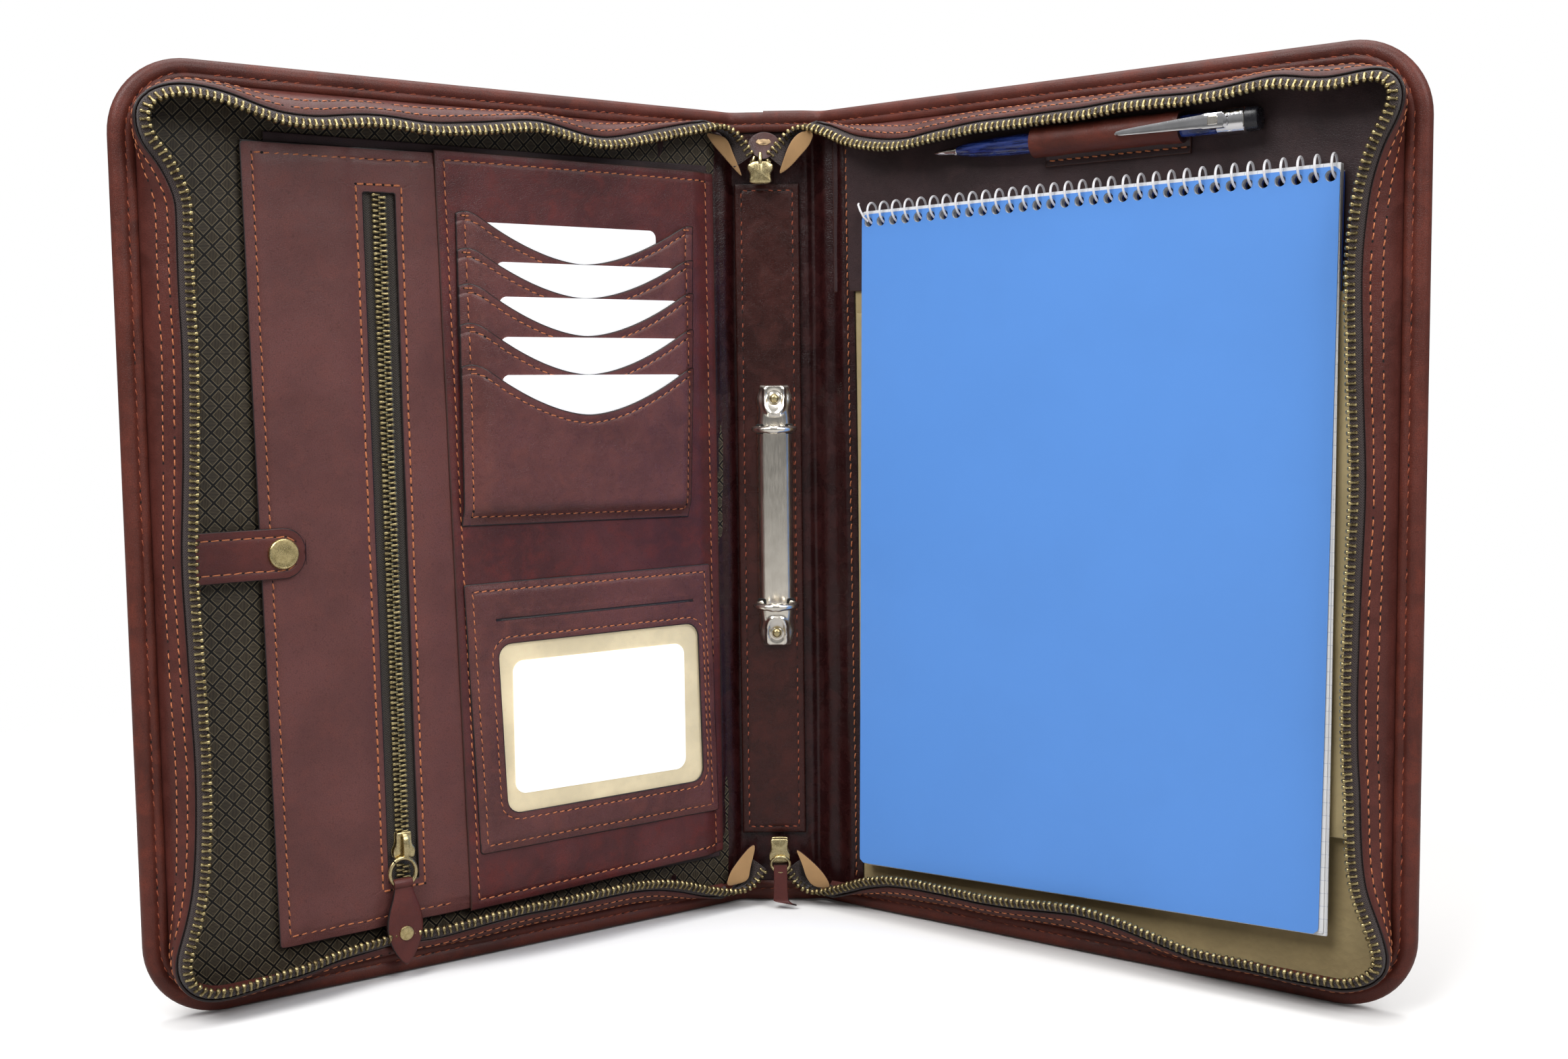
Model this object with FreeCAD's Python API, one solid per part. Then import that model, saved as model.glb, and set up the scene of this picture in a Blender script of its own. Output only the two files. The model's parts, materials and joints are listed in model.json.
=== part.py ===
import FreeCAD, Part
import math
import os

# Zip-around leather portfolio case, A4, standing open on its bottom edges like a book.
# World frame: x to the right, y to the back, z up. Origin: middle of the spine's foot, on the
# floor. The spine and its fittings are drawn in the world frame, with the case inside at -y.
# Each cover is drawn flat in its own frame: x runs outwards from its hinge line, y from the
# board into the case, z up. It is then turned into place; the right cover is also mirrored.
# Lengths in mm. A name for a range holds (low, high).

os.makedirs("parts", exist_ok=True)

Vector = FreeCAD.Vector
ALONG_X, ALONG_Y, ALONG_Z = Vector(1, 0, 0), Vector(0, 1, 0), Vector(0, 0, 1)

# ---------------------------------------------------------------- driving dimensions
CASE_H = 364.0            # height of spine and covers
COVER_W = 270.0           # hinge line to outer edge
CORNER_R = 30.0           # outer corners of the covers
HINGE_X = 20.0            # hinge lines are this far each side of the middle
OPEN_ANGLE = {"left": 35.4, "right": 35.2}    # degrees forward of flat
BIND_W = 11.0             # leather binding, width seen on the face
BIND_T = 6.2              # binding thickness, centred on the board
SEAM_GAP = 0.1            # between the binding and the leather inside it
COVER_X0 = 4.0            # covers start this far from the hinge line
SPINE_X = (-18.5, 18.5)   # stiff part of the spine

A4_W, A4_H = 210.0, 297.0
CARD_W, CARD_H, CARD_T = 85.6, 54.0, 0.74

# ---------------------------------------------------------------- helpers
ARC_MID = 1 - math.sqrt(0.5)   # setback of a quarter arc's midpoint, in radii


def around(middle, half):
    return (middle - half, middle + half)


def grown(limits, extra):
    return (limits[0] - extra, limits[1] + extra)


def box(xs, ys, zs):
    return Part.makeBox(xs[1] - xs[0], ys[1] - ys[0], zs[1] - zs[0], Vector(xs[0], ys[0], zs[0]))


def disc(x, ys, z, radius):
    return Part.makeCylinder(radius, ys[1] - ys[0], Vector(x, ys[0], z), ALONG_Y)


def wire(y, start, *runs):
    """Wire at y through (x, z) points: a run of one point is a line, of two an arc."""
    edges = []
    for run in runs:
        points = [Vector(x, y, z) for x, z in (start, *run)]
        edges.append(Part.makeLine(*points) if len(run) == 1 else Part.Arc(*points).toShape())
        start = run[-1]
    return Part.Wire(edges)


def thicken(profile, depth):
    return Part.Face(profile).extrude(Vector(0, depth, 0))


def polygon(points, ys):
    """Plate with straight edges through (x, z) points."""
    corners = [Vector(x, ys[0], z) for x, z in points]
    return thicken(Part.makePolygon(corners + corners[:1]), ys[1] - ys[0])


def round_box(xs, ys, zs, radius):
    """Plate with its four corners rounded."""
    (x0, x1), (z0, z1) = xs, zs
    mid = radius * ARC_MID
    profile = wire(
        ys[0], (x0 + radius, z0),
        [(x1 - radius, z0)], [(x1 - mid, z0 + mid), (x1, z0 + radius)],
        [(x1, z1 - radius)], [(x1 - mid, z1 - mid), (x1 - radius, z1)],
        [(x0 + radius, z1)], [(x0 + mid, z1 - mid), (x0, z1 - radius)],
        [(x0, z0 + radius)], [(x0 + mid, z0 + mid), (x0 + radius, z0)])
    return thicken(profile, ys[1] - ys[0])


def outline(inset, y, x0, drop=0.0):
    """Cover outline at y, inset from the three free edges; drop lowers its bottom run."""
    radius = max(CORNER_R - inset, 1.0)
    mid = radius * ARC_MID
    right, bottom, top = COVER_W - inset, inset - drop, CASE_H - inset
    return wire(
        y, (x0, bottom),
        [(right - radius, bottom)],
        [(right - mid, bottom + mid), (right, bottom + radius)],
        [(right, top - radius)],
        [(right - mid, top - mid), (right - radius, top)],
        [(x0, top)], [(x0, bottom)])


def slab(inset, ys, x0, drop=0.0):
    return thicken(outline(inset, ys[0], x0, drop), ys[1] - ys[0])


def edge_band(insets, ys, x0, drop=0.0):
    """Flat strip that follows the three free edges of a cover."""
    hole = slab(insets[1], grown(ys, 1), x0 - 5, drop)
    return slab(insets[0], ys, x0, drop).cut(hole)


def place(shape, side):
    """Turn a shape from the flat cover frame into the world."""
    placed = shape.copy()
    placed.rotate(Vector(0, 0, 0), ALONG_Z, 180.0 + OPEN_ANGLE[side])
    placed.translate(Vector(-HINGE_X, 0, 0))
    return placed.mirror(Vector(0, 0, 0), ALONG_X) if side == "right" else placed


def write(name, *shapes):
    solids = [solid for shape in shapes for solid in shape.Solids]
    piece = solids[0] if len(solids) == 1 else Part.makeCompound(solids)
    piece.exportStep("parts/" + name + ".step")


def write_on(side, name, *shapes):
    write(name, *[place(shape, side) for shape in shapes])


# ---------------------------------------------------------------- spine
SPINE_BODY_Z = (BIND_W + SEAM_GAP, CASE_H - BIND_W - SEAM_GAP)
BIND_Y = around(0.0, BIND_T / 2)

write("spine_shell", box(SPINE_X, (-0.9, 2.6), SPINE_BODY_Z))
write("spine_lining", box(SPINE_X, (-2.0, -1.0), SPINE_BODY_Z))
# sewn patch that carries the rings
write("spine_patch", box((-18.4, 10.6), (-3.3, -2.1), (33.0, 331.0)))
write("spine_binding",
      box(SPINE_X, BIND_Y, (0.0, BIND_W)),
      box(SPINE_X, BIND_Y, (CASE_H - BIND_W, CASE_H)))

# ---------------------------------------------------------------- two-ring mechanism
MECH_X, MECH_Z = -1.5, 180.8          # its middle
MECH_L, MECH_W, MECH_H = 120.0, 17.5, 5.5
MECH_SPAN = around(MECH_Z, MECH_L / 2)
MECH_Y = -3.4                         # back of the housing
SIDE_WALL, TOP_WALL = 1.2, 1.0
NOTCH_X, NOTCH_HALF = (4.0, 10.0), 2.4
CLIP_X, CLIP_Z = (3.5, 9.5), 6.0      # cut-off triangles at the housing's corners

RING_PITCH = 80.0                     # two-ring binder standard
RING_R, RING_WIRE = 9.0, 1.5          # centre line and wire radius
RING_Y = -14.5                        # centre of the closed rings
RING_ARC = (math.radians(1.0), math.radians(130.0))   # angles from the front
RING_ZS = around(MECH_Z, RING_PITCH / 2)

RIVET_R, RIVET_SINK = 3.4, 1.4        # head sphere, and its centre behind the cut face
RIVET_Y = MECH_Y - MECH_H - 0.05      # flat back of the heads
RIVET_INSET = 6.5


def arch(half_width, height, y_foot, zs):
    """Bar along z, bulging towards -y from a flat back."""
    crest = Vector(0, y_foot - height, zs[0])
    left, right = Vector(-half_width, y_foot, zs[0]), Vector(half_width, y_foot, zs[0])
    profile = Part.Wire([Part.Arc(left, crest, right).toShape(), Part.makeLine(right, left)])
    return Part.Face(profile).extrude(Vector(0, 0, zs[1] - zs[0]))


def ring_housing():
    """Arched shell open at the back, notched at the rings, with clipped corners."""
    housing = arch(MECH_W / 2, MECH_H, MECH_Y, MECH_SPAN).cut(
        arch(MECH_W / 2 - SIDE_WALL, MECH_H - TOP_WALL, MECH_Y + 0.02, grown(MECH_SPAN, -1.0)))
    for ring_z in RING_ZS:
        for side in (-1, 1):
            notch_x = sorted(side * x for x in NOTCH_X)
            housing = housing.cut(box(notch_x, (-12.0, 0.0), around(ring_z, NOTCH_HALF)))
    for end_z, inward in zip(MECH_SPAN, (1, -1)):
        for side in (-1, 1):
            inner, outer = [side * x for x in CLIP_X]
            corner = [(outer, end_z - inward), (outer, end_z + inward * CLIP_Z),
                      (inner, end_z - inward)]
            housing = housing.cut(polygon(corner, (0, -15)))
    housing.translate(Vector(MECH_X, 0, 0))
    return housing


def rivet_head(z):
    ball = Part.makeSphere(RIVET_R, Vector(MECH_X, RIVET_Y + RIVET_SINK, z))
    return ball.common(box(around(MECH_X, 5), (RIVET_Y - 2.95, RIVET_Y), around(z, 5)))


def ring_half(side, ring_z):
    """Half a ring of round wire, from the parting face at the front to the housing notch."""
    def point(angle):
        return Vector(MECH_X + side * RING_R * math.sin(angle),
                      RING_Y - RING_R * math.cos(angle), ring_z)

    start, end = RING_ARC
    path = Part.Wire([Part.Arc(point(start), point((start + end) / 2), point(end)).toShape()])
    tangent = Vector(side * math.cos(start), math.sin(start), 0)
    profile = Part.Wire([Part.makeCircle(RING_WIRE, point(start), tangent)])
    return path.makePipeShell([profile], True, False)


write("ring_housing", ring_housing())
write("ring_rivets", *[rivet_head(z) for z in grown(MECH_SPAN, -RIVET_INSET)])
write("ring_halves_left", *[ring_half(-1, z) for z in RING_ZS])
write("ring_halves_right", *[ring_half(1, z) for z in RING_ZS])

# ---------------------------------------------------------------- case zip at the spine
TOP_X, BOTTOM_X = -5.0, -2.0          # middles of the two sliders
TOP_Z, BOTTOM_Z = 338.0, 26.0

# slider x, then corners as (x from the slider, z)
ZIP_ENDS = [
    (TOP_X, [(-5.0, 344.6), (-7.5, 344.6), (-10.5, 357.0), (-7.0, 357.0)]),
    (TOP_X, [(5.0, 344.6), (7.5, 344.6), (14.0, 357.0), (10.5, 357.0)]),
    (BOTTOM_X, [(-1.0, 19.4), (-3.5, 19.4), (-12.0, 10.0), (-8.5, 10.0)]),
    (BOTTOM_X, [(1.0, 19.4), (3.5, 19.4), (13.0, 10.0), (9.5, 10.0)]),
]
FLAP_X, FLAP_CLEAR, FLAP_INSET = 16.5, 5.5, 11.7
# slider x, z of the flap's level edge, z of its tip
FLAPS = [(TOP_X, CASE_H - FLAP_INSET, 333.0), (BOTTOM_X, FLAP_INSET, 30.0)]

TOP_TAB_R, TOP_TAB_Y, TOP_TAB_Z = 4.6, (-7.2, -5.4), (345.5, 357.0)
BOTTOM_TAB_R, BOTTOM_TAB_Y, BOTTOM_TAB_Z = 4.2, (-15.4, -13.6), (6.0, 17.0)


def case_slider(x, z):
    """Block with a channel through it along z and a smaller block on its back."""
    body = box(around(x, 5.0), (-13.0, -8.4), around(z, 6.0))
    body = body.cut(box(around(x, 1.6), (-12.0, -9.4), around(z, 7.0)))
    return body.fuse(box(around(x, 1.5), (-8.5, -7.6), around(z, 4.0)))


def end_flap(slider_x, side, level_z, tip_z):
    near_x = slider_x + side * FLAP_CLEAR
    return polygon([(side * FLAP_X, level_z), (near_x, level_z), (near_x, tip_z)], (-7.2, -5.6))


def leather_tab(x, ys, zs, radius, round_z):
    """Upright tab with a round end centred at round_z."""
    return box(around(x, radius), ys, zs).fuse(disc(x, ys, round_z, radius))


write("case_sliders", case_slider(TOP_X, TOP_Z), case_slider(BOTTOM_X, BOTTOM_Z))
write("zip_ends", *[polygon([(slider_x + x, z) for x, z in corners], (-10.8, -9.6))
                    for slider_x, corners in ZIP_ENDS])
# turned-in ends of the gusset leather beside each slider
write("end_flaps", *[end_flap(slider_x, side, level_z, tip_z)
                     for slider_x, level_z, tip_z in FLAPS for side in (-1, 1)])
write("top_tab", leather_tab(TOP_X, TOP_TAB_Y, TOP_TAB_Z, TOP_TAB_R, TOP_TAB_Z[1]))
write("top_tab_rivet", disc(TOP_X, (-8.1, -7.3), 353.0, 2.9))
write("bottom_tab",
      leather_tab(BOTTOM_X, BOTTOM_TAB_Y, BOTTOM_TAB_Z, BOTTOM_TAB_R, BOTTOM_TAB_Z[0]))
write("bottom_tab_ring",
      Part.makeTorus(3.0, 0.7, Vector(BOTTOM_X, sum(BOTTOM_TAB_Y) / 2, 21.0), ALONG_Y))

# ---------------------------------------------------------------- covers
GUSSET_X0 = 22.0                      # gusset and zip start clear of the spine
GUSSET_INSETS = (10.0, 20.0)          # inset of the gusset's foot and of its free edge
GUSSET_Y = (3.3, 15.0)                # its foot and its free edge
GUSSET_T = 1.8                        # wall thickness measured along the inset
FOOT_DROP = 4.0                       # the zip runs this much nearer the bottom edge

# zip parts: insets, y range
TAPE = ((19.6, 24.4), (15.2, 16.6))
TEETH = ((21.4, 24.2), (16.8, 19.7))
# the left zip's bottom run lies down here, under the hanging pull tab
DIP_X = (156.0, 185.0)
# in the dip: y range, and how far it stops short of DIP_X at each end
TAPE_DIP = ((5.4, 6.2), 0.0)
TEETH_DIP = ((6.3, 7.6), 1.0)


def leaning_gusset():
    """Gusset wall: rises from the binding and leans in over the case."""
    (foot_in, edge_in), (foot_y, edge_y) = GUSSET_INSETS, GUSSET_Y
    outer = Part.makeLoft([outline(foot_in, foot_y, GUSSET_X0),
                           outline(edge_in, edge_y, GUSSET_X0, FOOT_DROP)], True, True)
    # the hollow follows the same slopes and runs past both ends for a clean cut
    over = 1.0
    rise = edge_y - foot_y
    lean = (edge_in - foot_in) / rise * over
    fall = FOOT_DROP * over / rise
    inner = Part.makeLoft([
        outline(foot_in + GUSSET_T - lean, foot_y - over, GUSSET_X0 - 5, -fall),
        outline(edge_in + GUSSET_T + lean, edge_y + over, GUSSET_X0 - 5, FOOT_DROP + fall),
    ], True, True)
    return outer.cut(inner)


def zip_band(part):
    insets, ys = part
    return edge_band(insets, ys, GUSSET_X0, FOOT_DROP)


def dipped_zip_band(part, dip):
    """Zip band with part of its bottom run laid down between two short legs."""
    insets, ys = part
    low_y, margin = dip
    zs = grown(insets, 0.0) if FOOT_DROP == 0 else tuple(inset - FOOT_DROP for inset in insets)
    x0, x1 = grown(DIP_X, -margin)
    leg = low_y[1] - low_y[0]
    leg_y = (low_y[0], ys[1])
    band = zip_band(part).cut(box((x0, x1), grown(ys, 1), grown(zs, 1)))
    return band.fuse([box((x0, x1), low_y, zs),
                      box((x0 - 0.01, x0 + leg), leg_y, zs),
                      box((x1 - leg, x1 + 0.01), leg_y, zs)]).removeSplitter()


for side in ("left", "right"):
    write_on(side, side + "_shell", slab(BIND_W + SEAM_GAP, (-2.6, 1.0), COVER_X0))
    write_on(side, side + "_lining", slab(BIND_W + SEAM_GAP, (1.05, 2.2), COVER_X0))
    write_on(side, side + "_binding", edge_band((0.0, BIND_W), BIND_Y, COVER_X0))

gusset_dip = box(grown(DIP_X, 0.3), (5.3, 30.0), (0.0, 30.0))
write_on("left", "left_gusset", leaning_gusset().cut(gusset_dip))
write_on("left", "left_zip_tape", dipped_zip_band(TAPE, TAPE_DIP))
write_on("left", "left_zip_teeth", dipped_zip_band(TEETH, TEETH_DIP))
write_on("right", "right_gusset", leaning_gusset())
write_on("right", "right_zip_tape", zip_band(TAPE))
write_on("right", "right_zip_teeth", zip_band(TEETH))

# ---------------------------------------------------------------- left cover: flat pieces
ORGANIZER_X, ORGANIZER_Z = (14.5, 224.0), (22.0, 336.5)
ZIP_X, ZIP_Z = 170.5, (40.0, 318.0)   # pocket zip: middle, and the slot it shows in
ID_X, ID_Z = (19.5, 139.0), (44.0, 161.0)
WINDOW_X, WINDOW_Z = (28.0, 125.5), (60.0, 134.0)
STRAP_Y, STRAP_Z = (5.7, 7.3), (167.3, 187.0)
STRAP_X = (214.0, 243.0)              # centre of the round end, hinge

# x, y and z ranges
LEFT_SHEETS = {
    "left_pocket": ((15.0, 214.0), (2.3, 2.8), (26.0, 339.0)),
    "organizer_back": (ORGANIZER_X, (3.0, 3.5), ORGANIZER_Z),
    "pocket_zip_tape": (around(ZIP_X, 10.0), (3.6, 4.3), grown(ZIP_Z, 4)),
    "pocket_zip_teeth": (around(ZIP_X, 3.0), (4.4, 6.0), grown(ZIP_Z, -2)),
    "card_panel": ((14.5, 148.0), (5.5, 6.6), (22.5, 336.5)),
    "id_backing": (grown(ID_X, -2), (6.65, 7.0), grown(ID_Z, -2)),
    "id_window": (grown(WINDOW_X, 4), (7.5, 7.7), grown(WINDOW_Z, 4)),
    "strap_root": ((244.0, 252.0), STRAP_Y, STRAP_Z),
}
for name, ranges in LEFT_SHEETS.items():
    write_on("left", name, box(*ranges))

zip_slot = box(around(ZIP_X, 6.4), (3.0, 7.0), ZIP_Z)
write_on("left", "zip_panel", box((126.0, 224.0), (4.4, 5.4), (22.0, 335.5)).cut(zip_slot))

# ---------------------------------------------------------------- left cover: cards
LAYER_PITCH = 1.55                    # y step from one card and its pocket to the next
CARD_Y, POCKET_Y, POCKET_T = 6.65, 7.45, 0.7
POCKET_X = (28.0, 139.5)
POCKET_H, FRONT_POCKET_Z0 = 52.0, 183.0
SCOOP_SIDE, SCOOP_DEPTH = 12, 20.5    # finger scoop in the top edge
# top of the pocket, top of the card, x of the card's hinge side
CARD_ROWS = [
    (312.0, 308.3, 44.4),
    (297.0, 292.3, 35.5),
    (282.5, 278.0, 35.0),
    (266.5, 261.4, 35.5),
    (249.5, 245.7, 36.0),
]


def card_pocket(y, bottom, top):
    x0, x1 = POCKET_X
    profile = wire(
        y, (x0, bottom),
        [(x1, bottom)], [(x1, top)], [(x1 - SCOOP_SIDE, top)],
        [((x0 + x1) / 2, top - SCOOP_DEPTH), (x0 + SCOOP_SIDE, top)],
        [(x0, top)], [(x0, bottom)])
    return thicken(profile, POCKET_T)


pockets = []
for i, (pocket_top, card_top, card_x) in enumerate(CARD_ROWS):
    bottom = FRONT_POCKET_Z0 if i == 4 else pocket_top - POCKET_H
    pockets.append(card_pocket(POCKET_Y + LAYER_PITCH * i, bottom, pocket_top))
    card_y = CARD_Y + LAYER_PITCH * i
    write_on("left", "card_%d" % (i + 1), round_box(
        (card_x, card_x + CARD_W), (card_y, card_y + CARD_T), (card_top - CARD_H, card_top), 3.2))
write_on("left", "card_pockets", *pockets[:4])
write_on("left", "card_pocket_front", pockets[4])

# identity card behind a window, with a slit above the window
write_on("left", "id_card", round_box((33.5, 117.5), (7.05, 7.45), (68.5, 125.5), 5.0))
id_frame = box(ID_X, (7.75, 8.6), ID_Z)
id_frame = id_frame.cut(round_box(WINDOW_X, (7.0, 9.5), WINDOW_Z, 6.0))
id_frame = id_frame.cut(box((30.0, 126.0), (7.0, 9.5), (144.5, 145.2)))
write_on("left", "id_pocket", id_frame)

# ---------------------------------------------------------------- left cover: pocket zip pull
SLIDER_Z = 53.0
PULL_Y, PULL_RING_Z, PULL_RING_R = 8.7, 43.0, 6.0
TAB_TOP = PULL_RING_Z - PULL_RING_R - 1.15
# (x from the zip's middle, z)
PULL_TAB = [(-3.4, TAB_TOP), (3.4, TAB_TOP), (7.0, 20.0), (5.6, 12.5),
            (0.0, 6.0), (-5.6, 12.5), (-7.0, 20.0)]


def pocket_slider():
    """Plate with a bail standing on it, open across x for the ring."""
    plate = box(around(ZIP_X, 5.0), (6.1, 7.4), (SLIDER_Z - 6.5, SLIDER_Z + 7.0))
    bail = box(around(ZIP_X, 1.5), (7.3, 10.9), (SLIDER_Z - 7.4, SLIDER_Z - 1.0))
    eye = box(around(ZIP_X, 2.0), (7.4, 10.0), (SLIDER_Z - 5.4, SLIDER_Z - 2.7))
    return plate.fuse(bail).cut(eye)


write_on("left", "pocket_slider", pocket_slider())
write_on("left", "pull_ring",
         Part.makeTorus(PULL_RING_R, 0.85, Vector(ZIP_X, PULL_Y, PULL_RING_Z), ALONG_Y))
write_on("left", "pull_tab",
         polygon([(ZIP_X + x, z) for x, z in PULL_TAB], around(PULL_Y, 0.8)))
write_on("left", "pull_tab_rivet", disc(ZIP_X, (PULL_Y + 0.85, PULL_Y + 1.6), 19.6, 2.8))

# closing strap with press stud
strap_end = disc(STRAP_X[0], STRAP_Y, sum(STRAP_Z) / 2, (STRAP_Z[1] - STRAP_Z[0]) / 2)
write_on("left", "strap", box(STRAP_X, STRAP_Y, STRAP_Z).fuse(strap_end))
write_on("left", "strap_stud",
         Part.makeCone(6.1, 4.9, 1.9, Vector(213.2, STRAP_Y[1] + 0.05, 177.1), ALONG_Y))

# ---------------------------------------------------------------- right cover: leather
top_panel = slab(BIND_W + 0.5, (2.25, 2.85), 15.0)
write_on("right", "right_top_panel",
         top_panel.common(box((10.0, 300.0), (2.0, 3.0), (282.0, 360.0))))
write_on("right", "pad_band", box((15.0, 255.0), (5.15, 6.1), (66.0, 272.0)))

# ---------------------------------------------------------------- right cover: pen
PEN_X, PEN_Y, PEN_Z = 67.0, 9.0, 338.0    # the pen's tip; it lies along x
PEN_R = 4.6
LOOP_FROM, LOOP_L = 47.5, 64.0            # distances along the pen start at its tip
CLIP_END = 131.5
CLIP_TOP = PEN_Y + PEN_R + 2.6
PEN_CLIP_Z = (PEN_Z - 3.6, PEN_Z + 0.6)


def pen_rod(radius, start, length):
    return Part.makeCylinder(radius, length, Vector(PEN_X + start, PEN_Y, PEN_Z), ALONG_X)


def pen_box(start, end, ys, zs):
    return box((PEN_X + start, PEN_X + end), ys, zs)


def pen_loop():
    """Tube round the pen with a flat tongue below it."""
    tube = pen_rod(PEN_R + 1.5, LOOP_FROM, LOOP_L)
    tube = tube.fuse(pen_box(LOOP_FROM, LOOP_FROM + LOOP_L, (2.9, 4.3), (328.0, PEN_Z)))
    return tube.cut(pen_rod(PEN_R + 0.3, 40.0, 80.0))


def pen_cap():
    """Cap with its clip, and the clip's foot cut to the barrel."""
    clip = pen_box(86.0, CLIP_END, (PEN_Y + PEN_R + 1.75, CLIP_TOP), PEN_CLIP_Z)
    foot = pen_box(127.5, CLIP_END, (PEN_Y + 2.0, CLIP_TOP), PEN_CLIP_Z)
    clip = clip.fuse(foot.cut(pen_rod(PEN_R, 123.5, 10.0)))
    return pen_rod(PEN_R + 0.3, 125.7, 17.0).fuse(clip)


pen_tip = Part.makeCone(1.1, PEN_R, 17.5, Vector(PEN_X, PEN_Y, PEN_Z), ALONG_X)
write_on("right", "pen_loop", pen_loop())
write_on("right", "pen_barrel", pen_rod(PEN_R, 17.6, 108.0))
write_on("right", "pen_metal", pen_tip, pen_cap())

# ---------------------------------------------------------------- right cover: spiral pad
# A4, bound along its top edge
PAD_X0, PAD_Z0 = 28.0, 21.0
PAD_X = (PAD_X0, PAD_X0 + A4_W)
PAD_Z1 = PAD_Z0 + A4_H
PAD_COVER_Z = (PAD_Z0, PAD_Z1 - 2.0)  # the card covers stop short of the sheets at the top
PAD_CORNER_R = 2.5
HOLES, HOLE_PITCH, HOLE_R, HOLE_Z = 33, 6.35, 2.3, PAD_Z1 - 5.4
COIL_Y, COIL_Z, COIL_R, COIL_WIRE = 8.3, PAD_Z1 - 1.6, 4.6, 0.5

first_hole = PAD_X0 + (A4_W - HOLE_PITCH * (HOLES - 1)) / 2
hole_xs = [first_hole + HOLE_PITCH * i for i in range(HOLES)]
drills = Part.makeCompound([disc(x, (1.0, 15.0), HOLE_Z, HOLE_R) for x in hole_xs])

for name, ys in (("pad_back", (4.5, 5.0)), ("pad_cover", (9.9, 10.4))):
    write_on("right", name, round_box(PAD_X, ys, PAD_COVER_Z, PAD_CORNER_R).cut(drills))
pages = box(PAD_X, (6.2, 9.3), (PAD_Z0 + 0.5, PAD_Z1 - 0.5))
write_on("right", "pad_pages", pages.cut(drills))
write_on("right", "pad_coil",
         *[Part.makeTorus(COIL_R, COIL_WIRE, Vector(x, COIL_Y, COIL_Z), ALONG_X)
           for x in hole_xs])
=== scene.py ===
"""Zip-around leather portfolio case, standing open on its lower edge.

Pieces are drawn in millimetres in the flat frame of the cover they belong to: x outwards from
the hinge line, y from the board into the case, z up. In the spine's frame x is the world's x
and y points out of the case, towards the camera (world -Y). World units are metres.
"""
import json
import math
from types import SimpleNamespace

import bmesh
import bpy
import numpy as np
from mathutils import Matrix, Vector


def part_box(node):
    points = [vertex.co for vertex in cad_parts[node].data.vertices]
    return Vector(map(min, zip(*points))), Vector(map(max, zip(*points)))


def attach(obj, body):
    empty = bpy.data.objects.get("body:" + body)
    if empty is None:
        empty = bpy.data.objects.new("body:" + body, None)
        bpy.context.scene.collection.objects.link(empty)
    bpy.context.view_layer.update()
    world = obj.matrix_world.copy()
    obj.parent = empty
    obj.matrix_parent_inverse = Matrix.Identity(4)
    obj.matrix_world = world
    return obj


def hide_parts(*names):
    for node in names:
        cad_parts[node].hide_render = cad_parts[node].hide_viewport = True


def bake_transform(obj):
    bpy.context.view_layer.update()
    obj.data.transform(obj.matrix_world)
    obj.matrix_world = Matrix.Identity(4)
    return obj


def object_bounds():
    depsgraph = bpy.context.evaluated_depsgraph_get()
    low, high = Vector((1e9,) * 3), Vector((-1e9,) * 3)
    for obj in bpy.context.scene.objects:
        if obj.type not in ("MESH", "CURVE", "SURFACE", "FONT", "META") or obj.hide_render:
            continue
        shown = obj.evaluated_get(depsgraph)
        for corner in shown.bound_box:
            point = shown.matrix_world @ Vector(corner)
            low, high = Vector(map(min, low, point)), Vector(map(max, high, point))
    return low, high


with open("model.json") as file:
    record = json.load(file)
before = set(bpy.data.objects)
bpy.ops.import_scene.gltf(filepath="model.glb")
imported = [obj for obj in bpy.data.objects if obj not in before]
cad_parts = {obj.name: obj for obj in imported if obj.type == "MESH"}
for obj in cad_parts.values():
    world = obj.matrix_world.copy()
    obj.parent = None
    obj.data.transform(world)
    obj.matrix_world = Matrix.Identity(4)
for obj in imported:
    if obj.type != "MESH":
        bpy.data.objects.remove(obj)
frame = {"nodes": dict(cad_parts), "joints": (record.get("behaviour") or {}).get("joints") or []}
CAD_LO, CAD_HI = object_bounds()
RNG = np.random.default_rng(11)


def unit(vector):
    vector = np.array(vector, float)
    return vector / np.linalg.norm(vector)


def box_mm(name):
    """Low and high corners of a CAD piece, mm."""
    return np.array(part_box(name), float) * 1000


# ---------------------------------------------------------------- frames and main sizes, mm
JOINTS = {joint["name"]: joint for joint in frame["joints"]}
UP = np.array([0.0, 0.0, 1.0])
INTO = np.array([0.0, 1.0, 0.0])    # out of the board, in a flat frame
LEFT_OUT = unit(JOINTS["pull_ring_hinge"]["axis"])
LEFT_IN = unit(np.cross(UP, LEFT_OUT))
RIGHT_OUT = -unit(JOINTS["pad_cover_hinge"]["axis"])
RIGHT_IN = unit(np.cross(RIGHT_OUT, UP))


def hinge_foot(name):
    return np.array(JOINTS[name]["pos_m"], float) * 1000 * [1, 1, 0]


# Origin and the directions of x and y of each cover's flat frame.
COVERS = {
    "L": (hinge_foot("left_cover_hinge"), LEFT_OUT, LEFT_IN),
    "R": (hinge_foot("right_cover_hinge"), RIGHT_OUT, RIGHT_IN),
}
SIDE_NAMES = {"L": "left", "R": "right"}
HINGE_X = abs(COVERS["R"][0][0])
BEND_HALF = 8.0         # half the width over which leather bends at a hinge
HEIGHT = round(CAD_HI[2] * 1000, 1)
COVER_W, CORNER = 270.0, 30.0


def ease(x):
    """Smooth step from 0 to 1."""
    x = np.clip(x, 0.0, 1.0)
    return x * x * (3 - 2 * x)


def bell(x, centre, width):
    return np.exp(-((x - centre) / width) ** 2)


def xyz(x, y, z):
    return np.stack(np.broadcast_arrays(x, y, z), -1)


def full_turn(count):
    return np.linspace(0, 2 * np.pi, count + 1)[:-1]


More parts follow.
